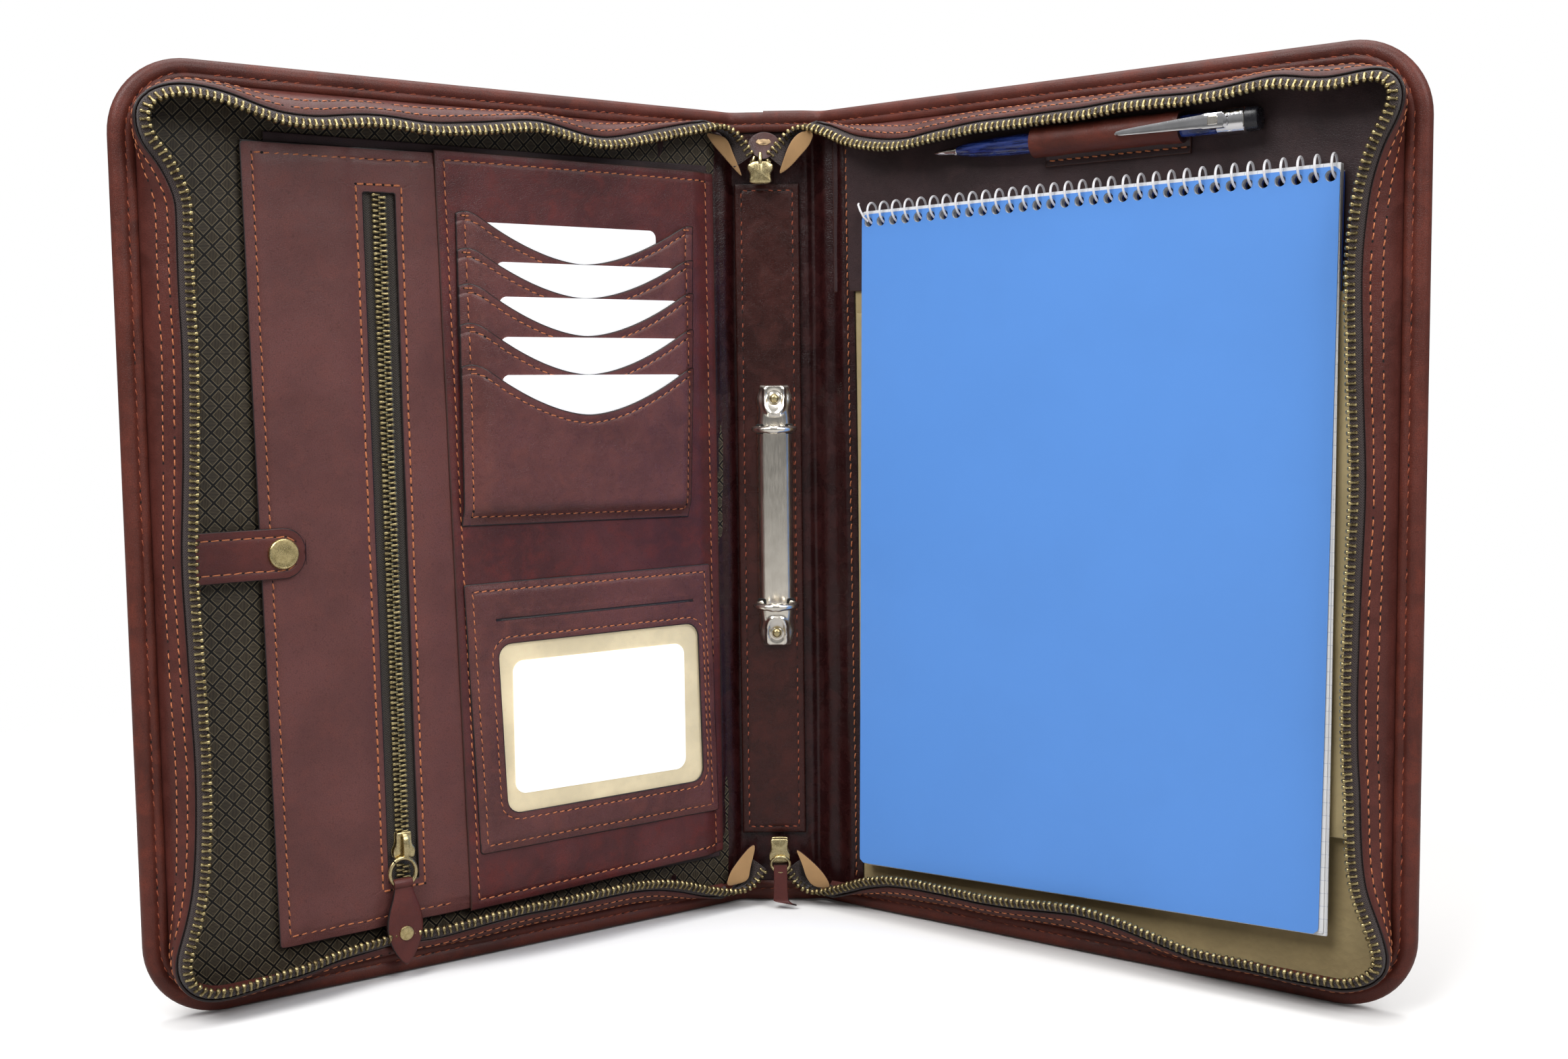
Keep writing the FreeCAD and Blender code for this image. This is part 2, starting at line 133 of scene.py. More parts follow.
def place(side, x, y, z):
    """Flat frame to world, mm. LB and RB bend into the spine's plane at the hinge."""
    x, y, z = np.broadcast_arrays(*(np.asarray(value, float) for value in (x, y, z)))
    if side == "S":
        return xyz(x, -y, z)
    origin, out, into = COVERS[side[0]]
    points = origin + x[..., None] * out + y[..., None] * into + z[..., None] * UP
    if len(side) > 1:
        sign = -1.0 if side[0] == "L" else 1.0
        share = ease((x + BEND_HALF) / (2 * BEND_HALF))[..., None]
        points = xyz(sign * (x + HINGE_X), -y, z) * (1 - share) + points * share
    return points


def place_m(side, x, y, z):
    return tuple(place(side, x, y, z) / 1000.0)


# Two bodies that share a bending piece, and the points where each has it wholly.
HINGE_BEND = {
    "L": ("spine", "left_cover", place_m("S", -13, 1, 180), place_m("L", 9, 1, 180)),
    "R": ("spine", "right_cover", place_m("S", 13, 1, 180), place_m("R", 9, 1, 180)),
}
ZIP_BEND = {
    "L": ("spine", "left_cover", place_m("S", -9, 12, 180), place_m("L", 16, 14, 180)),
    "R": ("spine", "right_cover", place_m("S", 5, 12, 180), place_m("R", 16, 14, 180)),
}


# ---------------------------------------------------------------- shader building
def srgb(*channels):
    """8-bit sRGB to linear."""
    return tuple(
        c / 255 / 12.92 if c / 255 <= 0.04045 else ((c / 255 + 0.055) / 1.055) ** 2.4
        for c in channels)


def scaled(colour, factor):
    return tuple(min(1, c * factor) for c in colour)


class Shader:
    """Short calls that add nodes to a tree; each returns the new node's output."""

    def __init__(self, tree):
        self.tree = tree

    def put(self, socket, value):
        if isinstance(value, bpy.types.NodeSocket):
            self.tree.links.new(value, socket)
        elif isinstance(value, tuple):
            alpha = (1.0,) if len(value) == 3 and len(socket.default_value) == 4 else ()
            socket.default_value = value + alpha
        else:
            socket.default_value = value

    def node(self, kind, inputs=None, out=0, **settings):
        node = self.tree.nodes.new("ShaderNode" + kind)
        for name, value in settings.items():
            setattr(node, name, value)
        for key, value in (inputs or {}).items():
            self.put(node.inputs[key], value)
        return node.outputs[out]

    def math(self, operation, first, second=None):
        inputs = {0: first} if second is None else {0: first, 1: second}
        return self.node("Math", inputs, operation=operation)

    def ramp(self, value, start, end, low=0.0, high=1.0):
        """Smooth change from low to high as value goes from start to end."""
        inputs = {"Value": value, "From Min": start, "From Max": end, "To Min": low,
                  "To Max": high}
        return self.node("MapRange", inputs, interpolation_type="SMOOTHSTEP")


class Material(Shader):
    """One material; its textures are laid out in millimetres."""

    def __init__(self, name, coords="UV"):
        self.material = bpy.data.materials.new(name)
        self.material.use_nodes = True
        super().__init__(self.material.node_tree)
        self.tree.nodes.clear()
        self.output = self.tree.nodes.new("ShaderNodeOutputMaterial")
        if coords == "UV":
            self.coords = self.node("UVMap")
        else:
            metres = self.node("TexCoord", out="Object")
            self.coords = self.node("VectorMath", {0: metres, "Scale": 1000.0},
                                    operation="SCALE")

    def stretched(self, *factors):
        return self.node("VectorMath", {0: self.coords, 1: factors}, operation="MULTIPLY")

    def along(self, direction):
        """Distance along a direction."""
        return self.node("VectorMath", {0: self.coords, 1: tuple(direction)}, out=1,
                         operation="DOT_PRODUCT")

    def two_axes(self):
        return self.node("SeparateXYZ", {0: self.coords}, out=slice(2))

    def noise(self, scale, detail=3.0, rough=0.55, at=None, distortion=0.0):
        inputs = {"Scale": scale, "Detail": detail, "Roughness": rough,
                  "Distortion": distortion, "Vector": self.coords if at is None else at}
        return self.node("TexNoise", inputs)

    def cells(self, scale, feature="DISTANCE_TO_EDGE"):
        return self.node("TexVoronoi", {"Scale": scale, "Vector": self.coords},
                         out="Distance", feature=feature)

    def triangle(self, value):
        """0.5 at whole numbers, 0 halfway between them."""
        return self.math("ABSOLUTE", self.math("SUBTRACT", self.math("FRACT", value), 0.5))

    def mix(self, share, first, second):
        return self.node("Mix", {0: share, 6: first, 7: second}, out=2, data_type="RGBA")

    def bump(self, height, strength, distance, normal=None):
        """Relief; strength is a share, distance is in metres."""
        inputs = {"Strength": strength, "Distance": distance, "Height": height}
        if normal is not None:
            inputs["Normal"] = normal
        return self.node("Bump", inputs)

    def surface(self, shader):
        self.tree.links.new(shader, self.output.inputs[0])
        return self.material

    def finish(self, **inputs):
        inputs = {name.replace("_", " "): value for name, value in inputs.items()}
        return self.surface(self.node("BsdfPrincipled", inputs))


# ---------------------------------------------------------------- materials
def leather(name, colour, warm, dark, rough, coat, wave, grain=1.25, pebble=0.35, coords="UV"):
    """Waxed leather: blotches between a darker and a warm tone, pebble grain, darker worn edges and
    painted shade in grooves and joins.

    dark scales the blotches' colour, wave and pebble are relief strengths, grain the cell
    scale of the pebbles.
    """
    mat = Material(name, coords)
    big = mat.noise(0.022, detail=4, rough=0.6)
    medium = mat.noise(0.12, detail=5, rough=0.6, distortion=0.6)
    fine = mat.noise(1.6, detail=3, rough=0.6)
    cells = mat.cells(grain)
    tone = mat.mix(mat.ramp(big, 0.36, 0.66), scaled(colour, dark), colour)
    tone = mat.mix(mat.ramp(medium, 0.42, 0.75, high=0.55), tone, warm)
    tone = mat.mix(mat.ramp(cells, 0.0, 0.09, low=0.45, high=0.0), tone, scaled(colour, 0.35))
    tone = mat.mix(mat.ramp(fine, 0.62, 0.80, high=0.18), tone, scaled(colour, 1.7))
    wear = mat.node("Attribute", out="Fac", attribute_name="wear")
    # darker where the attribute is high: worn edges, and painted shade in the binding's stitch
    # groove and where the gusset meets the binding
    tone = mat.mix(mat.ramp(wear, 0.30, 0.95, high=0.55), tone, scaled(colour, 0.45))
    streaks = mat.noise(0.5, detail=2, rough=0.5, at=mat.stretched(0.25, 2.4, 1.0))
    roughness = mat.math("ADD", mat.ramp(medium, 0.3, 0.75, low=rough - 0.07, high=rough + 0.10),
                         mat.ramp(streaks, 0.60, 0.75, high=0.08))
    relief = mat.bump(mat.noise(0.075, detail=3, rough=0.5), wave, 0.0011)
    relief = mat.bump(mat.ramp(cells, 0.0, 0.16), pebble, 0.00010, relief)
    relief = mat.bump(fine, pebble * 0.6, 0.00012, relief)
    return mat.finish(Base_Color=tone, Roughness=roughness, Normal=relief,
                      Coat_Weight=coat * 0.45, Coat_Roughness=0.30, Specular_IOR_Level=0.26)


def plain(name, colour, rough, variation=0.25, scale=0.8, bump=0.2, coords="OBJ", **inputs):
    """Nearly even surface, a little mottled."""
    mat = Material(name, coords)
    mottle = mat.noise(scale, detail=4, rough=0.6)
    tone = mat.mix(mat.ramp(mottle, 0.35, 0.7), scaled(colour, 1 - variation),
                   scaled(colour, 1 + variation * 0.6))
    return mat.finish(
        Base_Color=tone, Roughness=mat.ramp(mottle, 0.3, 0.7, low=rough - 0.05, high=rough + 0.07),
        Normal=mat.bump(mottle, bump, 0.00008), **inputs)


def brass(name, bright, patina, rough):
    """Antique brass: polished spots among brown patina."""
    mat = Material(name, "OBJ")
    patches = mat.noise(0.55, detail=5, rough=0.65)
    specks = mat.noise(3.5, detail=3, rough=0.6)
    polish = mat.math("MULTIPLY", mat.ramp(patches, 0.34, 0.60),
                      mat.ramp(specks, 0.30, 0.52, low=0.55))
    return mat.finish(
        Base_Color=mat.mix(polish, patina, bright), Metallic=1.0,
        Roughness=mat.ramp(specks, 0.3, 0.7, low=rough - 0.06, high=rough + 0.16),
        Normal=mat.bump(specks, 0.25, 0.00006))


def plated(name, colour, rough):
    """Smooth plated metal, faintly streaked along z."""
    mat = Material(name, "OBJ")
    streaks = mat.noise(0.9, detail=3, rough=0.5, at=mat.stretched(3.0, 3.0, 0.25))
    smear = mat.noise(0.12, detail=3, rough=0.5)
    return mat.finish(
        Base_Color=mat.mix(mat.ramp(smear, 0.35, 0.7, high=0.5), colour, scaled(colour, 0.72)),
        Metallic=1.0, Roughness=mat.ramp(streaks, 0.3, 0.7, low=rough - 0.03, high=rough + 0.06),
        Normal=mat.bump(streaks, 0.08, 0.00005))


def jacquard():
    """Woven lining: diamonds with dark outlines, hatched one way and the other in turn."""
    diamond_width, diamond_height, hatch_rate = 6.5, 6.7, 11.5
    mat = Material("jacquard_lining")
    math_node = mat.math
    x, z = mat.two_axes()
    rising, falling = (
        math_node(op, math_node("DIVIDE", x, diamond_width), math_node("DIVIDE", z, diamond_height))
        for op in ("ADD", "SUBTRACT"))
    edge = math_node("MAXIMUM", mat.triangle(rising), mat.triangle(falling))
    line = mat.ramp(edge, 0.39, 0.44)
    rim = math_node("MULTIPLY", mat.ramp(edge, 0.32, 0.365), math_node("SUBTRACT", 1.0, line))
    row, column = math_node("FLOOR", rising), math_node("FLOOR", falling)
    # 200 is even and keeps the sum positive
    parity = math_node("MODULO", math_node("ADD", row, math_node("ADD", column, 200.0)), 2.0)
    upright = math_node("SINE", math_node("MULTIPLY", x, hatch_rate))
    level = math_node("SINE", math_node("MULTIPLY", z, hatch_rate))
    hatch = math_node("ADD", math_node("MULTIPLY", upright, parity),
                      math_node("MULTIPLY", level, math_node("SUBTRACT", 1.0, parity)))
    fibre = mat.noise(4.0, detail=2, rough=0.6)
    big = mat.noise(0.03, detail=3, rough=0.5)
    tone = mat.mix(mat.ramp(hatch, -0.6, 0.9), srgb(28, 24, 19), srgb(90, 79, 62))
    tone = mat.mix(mat.ramp(big, 0.35, 0.7, high=0.35), tone, srgb(44, 40, 36))
    tone = mat.mix(math_node("MULTIPLY", rim, 0.85), tone, srgb(112, 101, 80))
    tone = mat.mix(line, tone, srgb(11, 9, 8))
    weave = math_node("ADD", math_node("MULTIPLY", hatch, 0.25), math_node("SUBTRACT", 1.0, line))
    waves = mat.bump(mat.noise(0.05, detail=3, rough=0.5), 0.5, 0.0012)
    return mat.finish(
        Base_Color=tone, Roughness=mat.ramp(fibre, 0.3, 0.7, low=0.42, high=0.58),
        Normal=mat.bump(weave, 0.5, 0.00014, waves), Sheen_Weight=0.06, Specular_IOR_Level=0.22)


def woven_tape(name, bright, dark):
    """Herringbone tape with columns 2.6 mm wide."""
    mat = Material(name)
    x, z = mat.two_axes()
    zigzag = mat.triangle(mat.math("DIVIDE", x, 2.6))
    weave = mat.math("SINE", mat.math("ADD", mat.math("MULTIPLY", z, 6.6),
                                      mat.math("MULTIPLY", zigzag, 16.0)))
    fibre = mat.noise(5.0, detail=2, rough=0.6)
    tone = mat.mix(mat.ramp(weave, -0.7, 0.8), dark, bright)
    tone = mat.mix(mat.ramp(fibre, 0.4, 0.75, high=0.3), tone, scaled(bright, 1.5))
    return mat.finish(Base_Color=tone, Roughness=0.72, Normal=mat.bump(weave, 0.7, 0.00016),
                      Sheen_Weight=0.2)


# Emission that makes a surface glow though it is no lamp: painted light.
def painted_glow_inputs(colour, painted_glow):
    return dict(Emission_Color=colour, Emission_Strength=painted_glow) if painted_glow else {}


def suede(name, colour, dots=0.0, painted_glow=0.0):
    """Soft nap with gentle waves; dots is the strength of a dimpled relief; its glow is painted
    light, an emission.
    """
    mat = Material(name)
    big = mat.noise(0.03, detail=4, rough=0.6)
    fine = mat.noise(2.2, detail=4, rough=0.7)
    medium = mat.noise(0.25, detail=4, rough=0.6)
    tone = mat.mix(mat.ramp(big, 0.35, 0.7), scaled(colour, 0.80), colour)
    tone = mat.mix(mat.ramp(medium, 0.5, 0.8, high=0.35), tone, scaled(colour, 0.72))
    tone = mat.mix(mat.ramp(fine, 0.55, 0.85, high=0.4), tone, scaled(colour, 1.25))
    relief = mat.bump(mat.noise(0.06, detail=3, rough=0.5), 0.5, 0.0010)
    relief = mat.bump(fine, 0.5, 0.00016, relief)
    if dots:
        relief = mat.bump(mat.cells(0.42, "F1"), dots, 0.00030, relief)
    return mat.finish(Base_Color=tone, Roughness=0.82, Normal=relief, Sheen_Weight=0.35,
                      Specular_IOR_Level=0.25, **painted_glow_inputs(tone, painted_glow))


# Its glow is painted light: an emission that keeps white paper bright.
def paper(name, colour, rough, painted_glow=0.0):
    mat = Material(name, "OBJ")
    fibre = mat.noise(1.2, detail=4, rough=0.6)
    big = mat.noise(0.02, detail=3, rough=0.5)
    tone = mat.mix(mat.ramp(big, 0.35, 0.7, high=0.6), colour, scaled(colour, 0.95))
    return mat.finish(
        Base_Color=tone, Roughness=mat.ramp(fibre, 0.3, 0.7, low=rough - 0.05, high=rough + 0.05),
        Normal=mat.bump(fibre, 0.12, 0.00006), **painted_glow_inputs(tone, painted_glow))


def squared_paper():
    """Writing paper ruled in 5 mm squares; thin dark lines between the sheets are painted shade in
    the gaps.
    """
    mat = Material("squared_paper", "OBJ")
    height = mat.node("SeparateXYZ", {0: mat.coords}, out=2)
    level = mat.triangle(mat.math("DIVIDE", height, 5.0))
    upright = mat.triangle(mat.math("DIVIDE", mat.along(RIGHT_OUT), 5.0))
    sheets = mat.math("SINE", mat.math("MULTIPLY", mat.along(RIGHT_IN), 26.0))
    rule = mat.math("MAXIMUM", mat.ramp(level, 0.462, 0.485), mat.ramp(upright, 0.462, 0.485))
    fibre = mat.noise(0.8, detail=3, rough=0.6)
    tone = mat.mix(mat.math("MULTIPLY", rule, 0.45), (0.86, 0.86, 0.86), srgb(150, 160, 185))
    # darker lines between the sheets: painted shade in the gaps
    tone = mat.mix(mat.ramp(sheets, 0.2, 1.0, high=0.12), tone, (0.5, 0.5, 0.5))
    return mat.finish(Base_Color=tone, Roughness=0.7,
                      Normal=mat.bump(mat.math("ADD", sheets, fibre), 0.25, 0.00008))


def sheet_edges():
    """Cut edge of the paper block; its dark lines between the sheets are painted shade in the gaps.
    """
    mat = Material("sheet_edges", "OBJ")
    sheets = mat.math("SINE", mat.math("MULTIPLY", mat.along(RIGHT_IN), 24.0))
    fibre = mat.noise(0.8, detail=3, rough=0.6)
    # darker lines between the sheets: painted shade in the gaps
    tone = mat.mix(mat.ramp(sheets, -0.4, 1.0), (0.84, 0.84, 0.83), (0.50, 0.50, 0.52))
    return mat.finish(Base_Color=tone, Roughness=0.75,
                      Normal=mat.bump(mat.math("ADD", sheets, fibre), 0.4, 0.00010))


def clear_film():
    mat = Material("clear_film")
    waves = mat.noise(0.05, detail=3, rough=0.5, distortion=0.8)
    clear = mat.node("BsdfTransparent", {0: (1.0, 1.0, 0.99, 1)})
    gloss = mat.node("BsdfGlossy", {"Roughness": 0.12, "Normal": mat.bump(waves, 0.5, 0.001)})
    fresnel = mat.node("Fresnel", {0: 1.35})
    share = mat.math("MULTIPLY", fresnel, 0.4)
    return mat.surface(mat.node("MixShader", {0: share, 1: clear, 2: gloss}))


def pen_plastic():
    mat = Material("pen_translucent_blue", "OBJ")
    streaks = mat.noise(0.35, detail=3, rough=0.5, at=mat.stretched(0.3, 0.3, 2.5))
    tone = mat.mix(mat.ramp(streaks, 0.35, 0.65), srgb(20, 34, 92), srgb(60, 84, 170))
    return mat.finish(Base_Color=tone, Roughness=0.12, Transmission_Weight=0.35, IOR=1.45,
                      Coat_Weight=0.6, Coat_Roughness=0.05)


BINDING = leather("leather_binding", srgb(98, 48, 39), warm=srgb(118, 52, 36), dark=0.62,
                  rough=0.44, coat=0.18, wave=0.35)
GUSSET = leather("leather_gusset", srgb(90, 45, 39), warm=srgb(102, 50, 42), dark=0.66,
                 rough=0.40, coat=0.25, wave=0.5)
PANEL = leather("leather_panel", srgb(108, 66, 63), warm=srgb(112, 64, 58), dark=0.78,
                rough=0.42, coat=0.16, wave=0.45)
CARD_PANEL = leather("leather_card_panel", srgb(98, 52, 52), warm=srgb(116, 46, 40), dark=0.62,
                     rough=0.34, coat=0.32, wave=0.6)
POCKET = leather("leather_pocket", srgb(106, 64, 62), warm=srgb(118, 66, 58), dark=0.70,
                 rough=0.30, coat=0.40, wave=0.7)
DARK = leather("leather_dark", srgb(60, 26, 22), warm=srgb(78, 33, 26), dark=0.6,
               rough=0.30, coat=0.40, wave=0.7)
SPINE_LINING = leather("leather_spine_lining", srgb(44, 15, 16), warm=srgb(66, 26, 24), dark=0.6,
                       rough=0.27, coat=0.5, wave=0.9)
DUSKY = leather("leather_dusky", srgb(66, 50, 52), warm=srgb(72, 52, 52), dark=0.6,
                rough=0.42, coat=0.15, wave=0.5)
OUTSIDE = leather("leather_outside", srgb(112, 56, 45), warm=srgb(124, 60, 45), dark=0.80,
                  rough=0.38, coat=0.35, wave=0.4, grain=1.0, pebble=0.6, coords="OBJ")
TAB = leather("leather_tab", srgb(96, 48, 44), warm=srgb(108, 50, 42), dark=0.75,
              rough=0.34, coat=0.3, wave=0.2, grain=2.2)

EDGE = plain("painted_edge", srgb(30, 17, 17), rough=0.38, variation=0.3, scale=0.9, bump=0.4,
             coords="UV")
RAW = plain("cut_edge", srgb(64, 34, 28), rough=0.6, variation=0.35, scale=1.5, bump=0.5,
            coords="UV")
THREAD = plain("thread", srgb(200, 120, 76), rough=0.62, variation=0.35, scale=2.2, bump=0.5)
THREAD_DARK = plain("thread_dark", srgb(158, 78, 50), rough=0.62, variation=0.35, scale=2.2,
                    bump=0.5)
# Dark discs in the needle holes: painted shade.
HOLE_SHADE = plain("needle_hole_shade", srgb(14, 6, 6), rough=0.9, variation=0.2, scale=2.0)

BRASS_TEETH = brass("antique_brass_teeth", (0.56, 0.46, 0.23), (0.15, 0.11, 0.05), rough=0.30)
BRASS_HARDWARE = brass("antique_brass_hardware", (0.66, 0.55, 0.30), (0.46, 0.37, 0.19),
                       rough=0.24)
BRASS_STUD = brass("antique_brass_stud", (0.72, 0.59, 0.30), (0.52, 0.42, 0.20), rough=0.25)
BRONZE_RIVET = brass("dark_bronze_rivet", (0.30, 0.21, 0.12), (0.18, 0.12, 0.07), rough=0.34)
NICKEL = plated("nickel_plate", (0.92, 0.87, 0.78), rough=0.18)
CHROME = plated("bright_chrome", (0.90, 0.90, 0.92), rough=0.08)
# Near black for the openings of slots: painted shade.
SHADE_BLACK = plain("painted_shade_black", (0.006, 0.005, 0.005), rough=0.5)
CAP_DARK = plain("pen_cap_dark", (0.012, 0.012, 0.016), rough=0.28, variation=0.1, bump=0.05)

JACQUARD = jacquard()
TAPE = woven_tape("zip_tape", srgb(62, 46, 43), srgb(24, 16, 15))
POCKET_TAPE = woven_tape("zip_tape_pocket", srgb(70, 62, 55), srgb(30, 25, 22))
BEIGE = suede("lining_beige", srgb(176, 156, 112), dots=0.5)
BAND_BEIGE = suede("band_beige", srgb(182, 164, 122), dots=0.15)
FLESH = suede("flesh_side", srgb(176, 138, 94))
# The window backing and the white cards glow: painted light that keeps them bright white, most
# behind the film.
BACKING = suede("window_backing", srgb(236, 220, 186), painted_glow=0.30)
WHITE = paper("white_card", (0.95, 0.95, 0.95), rough=0.45, painted_glow=0.22)
WINDOW_WHITE = paper("white_card_in_window", (0.96, 0.96, 0.96), rough=0.45, painted_glow=0.48)
BLUE = paper("blue_cover", srgb(93, 152, 232), rough=0.42)
BLUE_BACK = paper("blue_back", srgb(62, 100, 200), rough=0.45)
PAGES = squared_paper()
BLUE_EDGE = paper("blue_cover_edge", srgb(140, 180, 240), rough=0.6)
PAGE_EDGE = sheet_edges()
WIRE = plain("coated_wire", (0.86, 0.85, 0.87), rough=0.30, variation=0.06, scale=0.5,
             bump=0.05, Coat_Weight=0.3)
FILM = clear_film()
PEN_BLUE = pen_plastic()

THREAD_SLOT, HOLE_SLOT = 2, 3       # material slots that every sewn piece has


# ---------------------------------------------------------------- mesh building
class Piece:
    """Collects parts of one mesh, then builds the object."""

    def __init__(self, name, *materials):
        self.name, self.materials = name, materials
        self.points, self.faces, self.mats, self.uvs, self.wears = [], [], [], [], []
        self.count = 0

    def add(self, side, points, faces, mat=0, uv=None, wear=0.0):
        """Add points in a flat frame with one array of faces, or a list of arrays.

        mat is one slot, or a list with an entry (slot or slots) for each array of faces.
        """
        world = place(side, *np.asarray(points, float).reshape(-1, 3).T)
        if uv is None:
            uv = np.stack([world @ np.array([1, 1, 0.0]), world[:, 2]], 1)
        groups = faces if isinstance(faces, list) else [faces]
        mats = mat if isinstance(mat, list) else [mat] * len(groups)
        for group, slots in zip(groups, mats):
            self.faces.append(group + self.count)
            self.mats.append(np.broadcast_to(slots, (len(group),)))
        self.points.append(world)
        self.uvs.append(uv)
        self.wears.append(np.broadcast_to(wear, (len(world),)))
        self.count += len(world)

    def mesh(self, angle):
        mesh = bpy.data.meshes.new(self.name)
        loops = np.concatenate([group.ravel() for group in self.faces])
        totals = np.concatenate([np.full(len(group), group.shape[1]) for group in self.faces])
        starts = np.concatenate([[0], np.cumsum(totals)[:-1]])
        mesh.vertices.add(self.count)
        mesh.vertices.foreach_set("co", (np.concatenate(self.points) / 1000.0).ravel())
        mesh.loops.add(len(loops))
        mesh.loops.foreach_set("vertex_index", loops.astype(np.int32))
        mesh.polygons.add(len(totals))
        mesh.polygons.foreach_set("loop_start", starts.astype(np.int32))
        mesh.polygons.foreach_set("material_index", np.concatenate(self.mats).astype(np.int32))
        mesh.update(calc_edges=True)
        layer = mesh.uv_layers.new(name="UVMap")
        layer.data.foreach_set("uv", np.concatenate(self.uvs)[loops].ravel().astype(np.float32))
        wear = mesh.attributes.new("wear", "FLOAT", "POINT")
        wear.data.foreach_set("value", np.concatenate(self.wears).astype(np.float32))
        for material in self.materials:
            mesh.materials.append(material)
        work = bmesh.new()
        work.from_mesh(mesh)
        bmesh.ops.recalc_face_normals(work, faces=work.faces)
        work.to_mesh(mesh)
        work.free()
        mesh.validate()
        mesh.polygons.foreach_set("use_smooth", np.ones(len(mesh.polygons), bool))
        mesh.set_sharp_from_angle(angle=math.radians(angle))
        return mesh

    def build(self, body, slot, *nodes, angle=38.0):
        """Make the object on its body (or between two) and name the CAD nodes it replaces."""
        thing = bpy.data.objects.new(self.name, self.mesh(angle))
        bpy.context.scene.collection.objects.link(thing)
        if isinstance(body, str):
            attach(thing, body)
        else:
            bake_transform(thing)
        if nodes:
            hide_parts(*nodes)


def sewn_piece(name, surface, edge=EDGE, thread=THREAD):
    return Piece(name, surface, edge, thread, HOLE_SHADE)


def grid_faces(rows, columns, wrap=False):
    i, j = np.meshgrid(np.arange(rows if wrap else rows - 1), np.arange(columns - 1),
                       indexing="ij")
    i, j = i.ravel(), j.ravel()
    after = (i + 1) % rows
    return np.stack([i * columns + j, after * columns + j, after * columns + j + 1,
                     i * columns + j + 1], 1)


def grid_border(rows, columns):
    index = np.arange(rows * columns).reshape(rows, columns)
    return np.concatenate([index[:, 0], index[-1, 1:], index[-2::-1, -1], index[0, -2:0:-1]])


def wall(loop, count):
    """Faces from a loop of points on the top skin to the same loop on the bottom one."""
    after = np.roll(loop, -1)
    return np.stack([loop, after, after + count, loop + count], 1)


def add_skins(piece, side, x, z, top, bottom, faces, walls, mat=0, wall_mat=0, uv=None, wear=0.0):
    """Solid with a top and a bottom skin of the same faces, joined by walls."""
    points = np.concatenate([xyz(x, height, z).reshape(-1, 3) for height in (top, bottom)])
    piece.add(side, points, [faces, faces[:, ::-1] + x.size, *walls],
              [mat, mat] + [wall_mat] * len(walls), uv if uv is None else np.tile(uv, (2, 1)),
              np.tile(np.broadcast_to(wear, (x.size,)), 2))


def loft(sections):
    """Closed solid through rings of equal count, with fan caps: points and [quads, fans]."""
    rings = np.array(sections)
    count, size, _ = rings.shape
    i, j = np.meshgrid(np.arange(count - 1), np.arange(size), indexing="ij")
    i, j = i.ravel(), j.ravel()
    after = (j + 1) % size
    sides = np.stack([i * size + j, i * size + after, (i + 1) * size + after,
                      (i + 1) * size + j], 1)
    points = rings.reshape(-1, 3)
    total, last = len(points), (count - 1) * size
    points = np.concatenate([points, rings[0].mean(0)[None], rings[-1].mean(0)[None]])
    j = np.arange(size)
    after = (j + 1) % size
    caps = np.concatenate([np.stack([np.full(size, total), after, j], 1),
                           np.stack([np.full(size, total + 1), last + j, last + after], 1)])
    return points, [sides, caps]


def copies(template, centres, along, across, normals):
    """Copies of a lofted template, one at each centre, with their own three axes."""
    shape, faces = template
    points = (centres[:, None] + shape[None, :, 0:1] * along[:, None]
              + shape[None, :, 1:2] * across[:, None] + shape[None, :, 2:3] * normals[:, None])
    offsets = (np.arange(len(centres)) * len(shape))[:, None, None]
    return points.reshape(-1, 3), [(f[None] + offsets).reshape(-1, f.shape[1]) for f in faces]


# ---------------------------------------------------------------- lines and outlines
def arc(points):
    """Distance along a line to each of its points."""
    steps = np.linalg.norm(np.diff(points, axis=0), axis=1)
    return np.concatenate([[0], np.cumsum(steps)])


def look_up(where, stations, rows):
    """Rows of a table interpolated at the given stations."""
    return np.stack([np.interp(where, stations, column) for column in rows.T], -1)


def resample(points, step, closed=False):
    """Even spacing of about step along a line."""
    points = np.asarray(points, float)
    if closed:
        points = np.concatenate([points, points[:1]])
    lengths = arc(points)
    count = max(2, int(round(lengths[-1] / step)) + 1)
    even = look_up(np.linspace(0, lengths[-1], count), lengths, points)
    return even[:-1] if closed else even


def smooth(points, sigma, step):
    """Gaussian smoothing of an evenly spaced line, ends held."""
    reach = int(3 * sigma / step)
    weights = np.exp(-0.5 * (np.arange(-reach, reach + 1) * step / sigma) ** 2)
    weights /= weights.sum()
    padded = np.concatenate([2 * points[0] - points[reach:0:-1], points,
                             2 * points[-1] - points[-2:-reach - 2:-1]])
    return np.stack([np.convolve(column, weights, "valid") for column in padded.T], 1)


def tangents(points, closed=False):
    if closed:
        steps = np.roll(points, -1, 0) - np.roll(points, 1, 0)
    else:
        steps = np.gradient(points, axis=0)
    return steps / np.maximum(np.linalg.norm(steps, axis=1, keepdims=True), 1e-9)


def soften(outline):
    """Average each point of a closed outline with its two neighbours."""
    return (np.roll(outline, 1, 0) + outline + np.roll(outline, -1, 0)) / 3


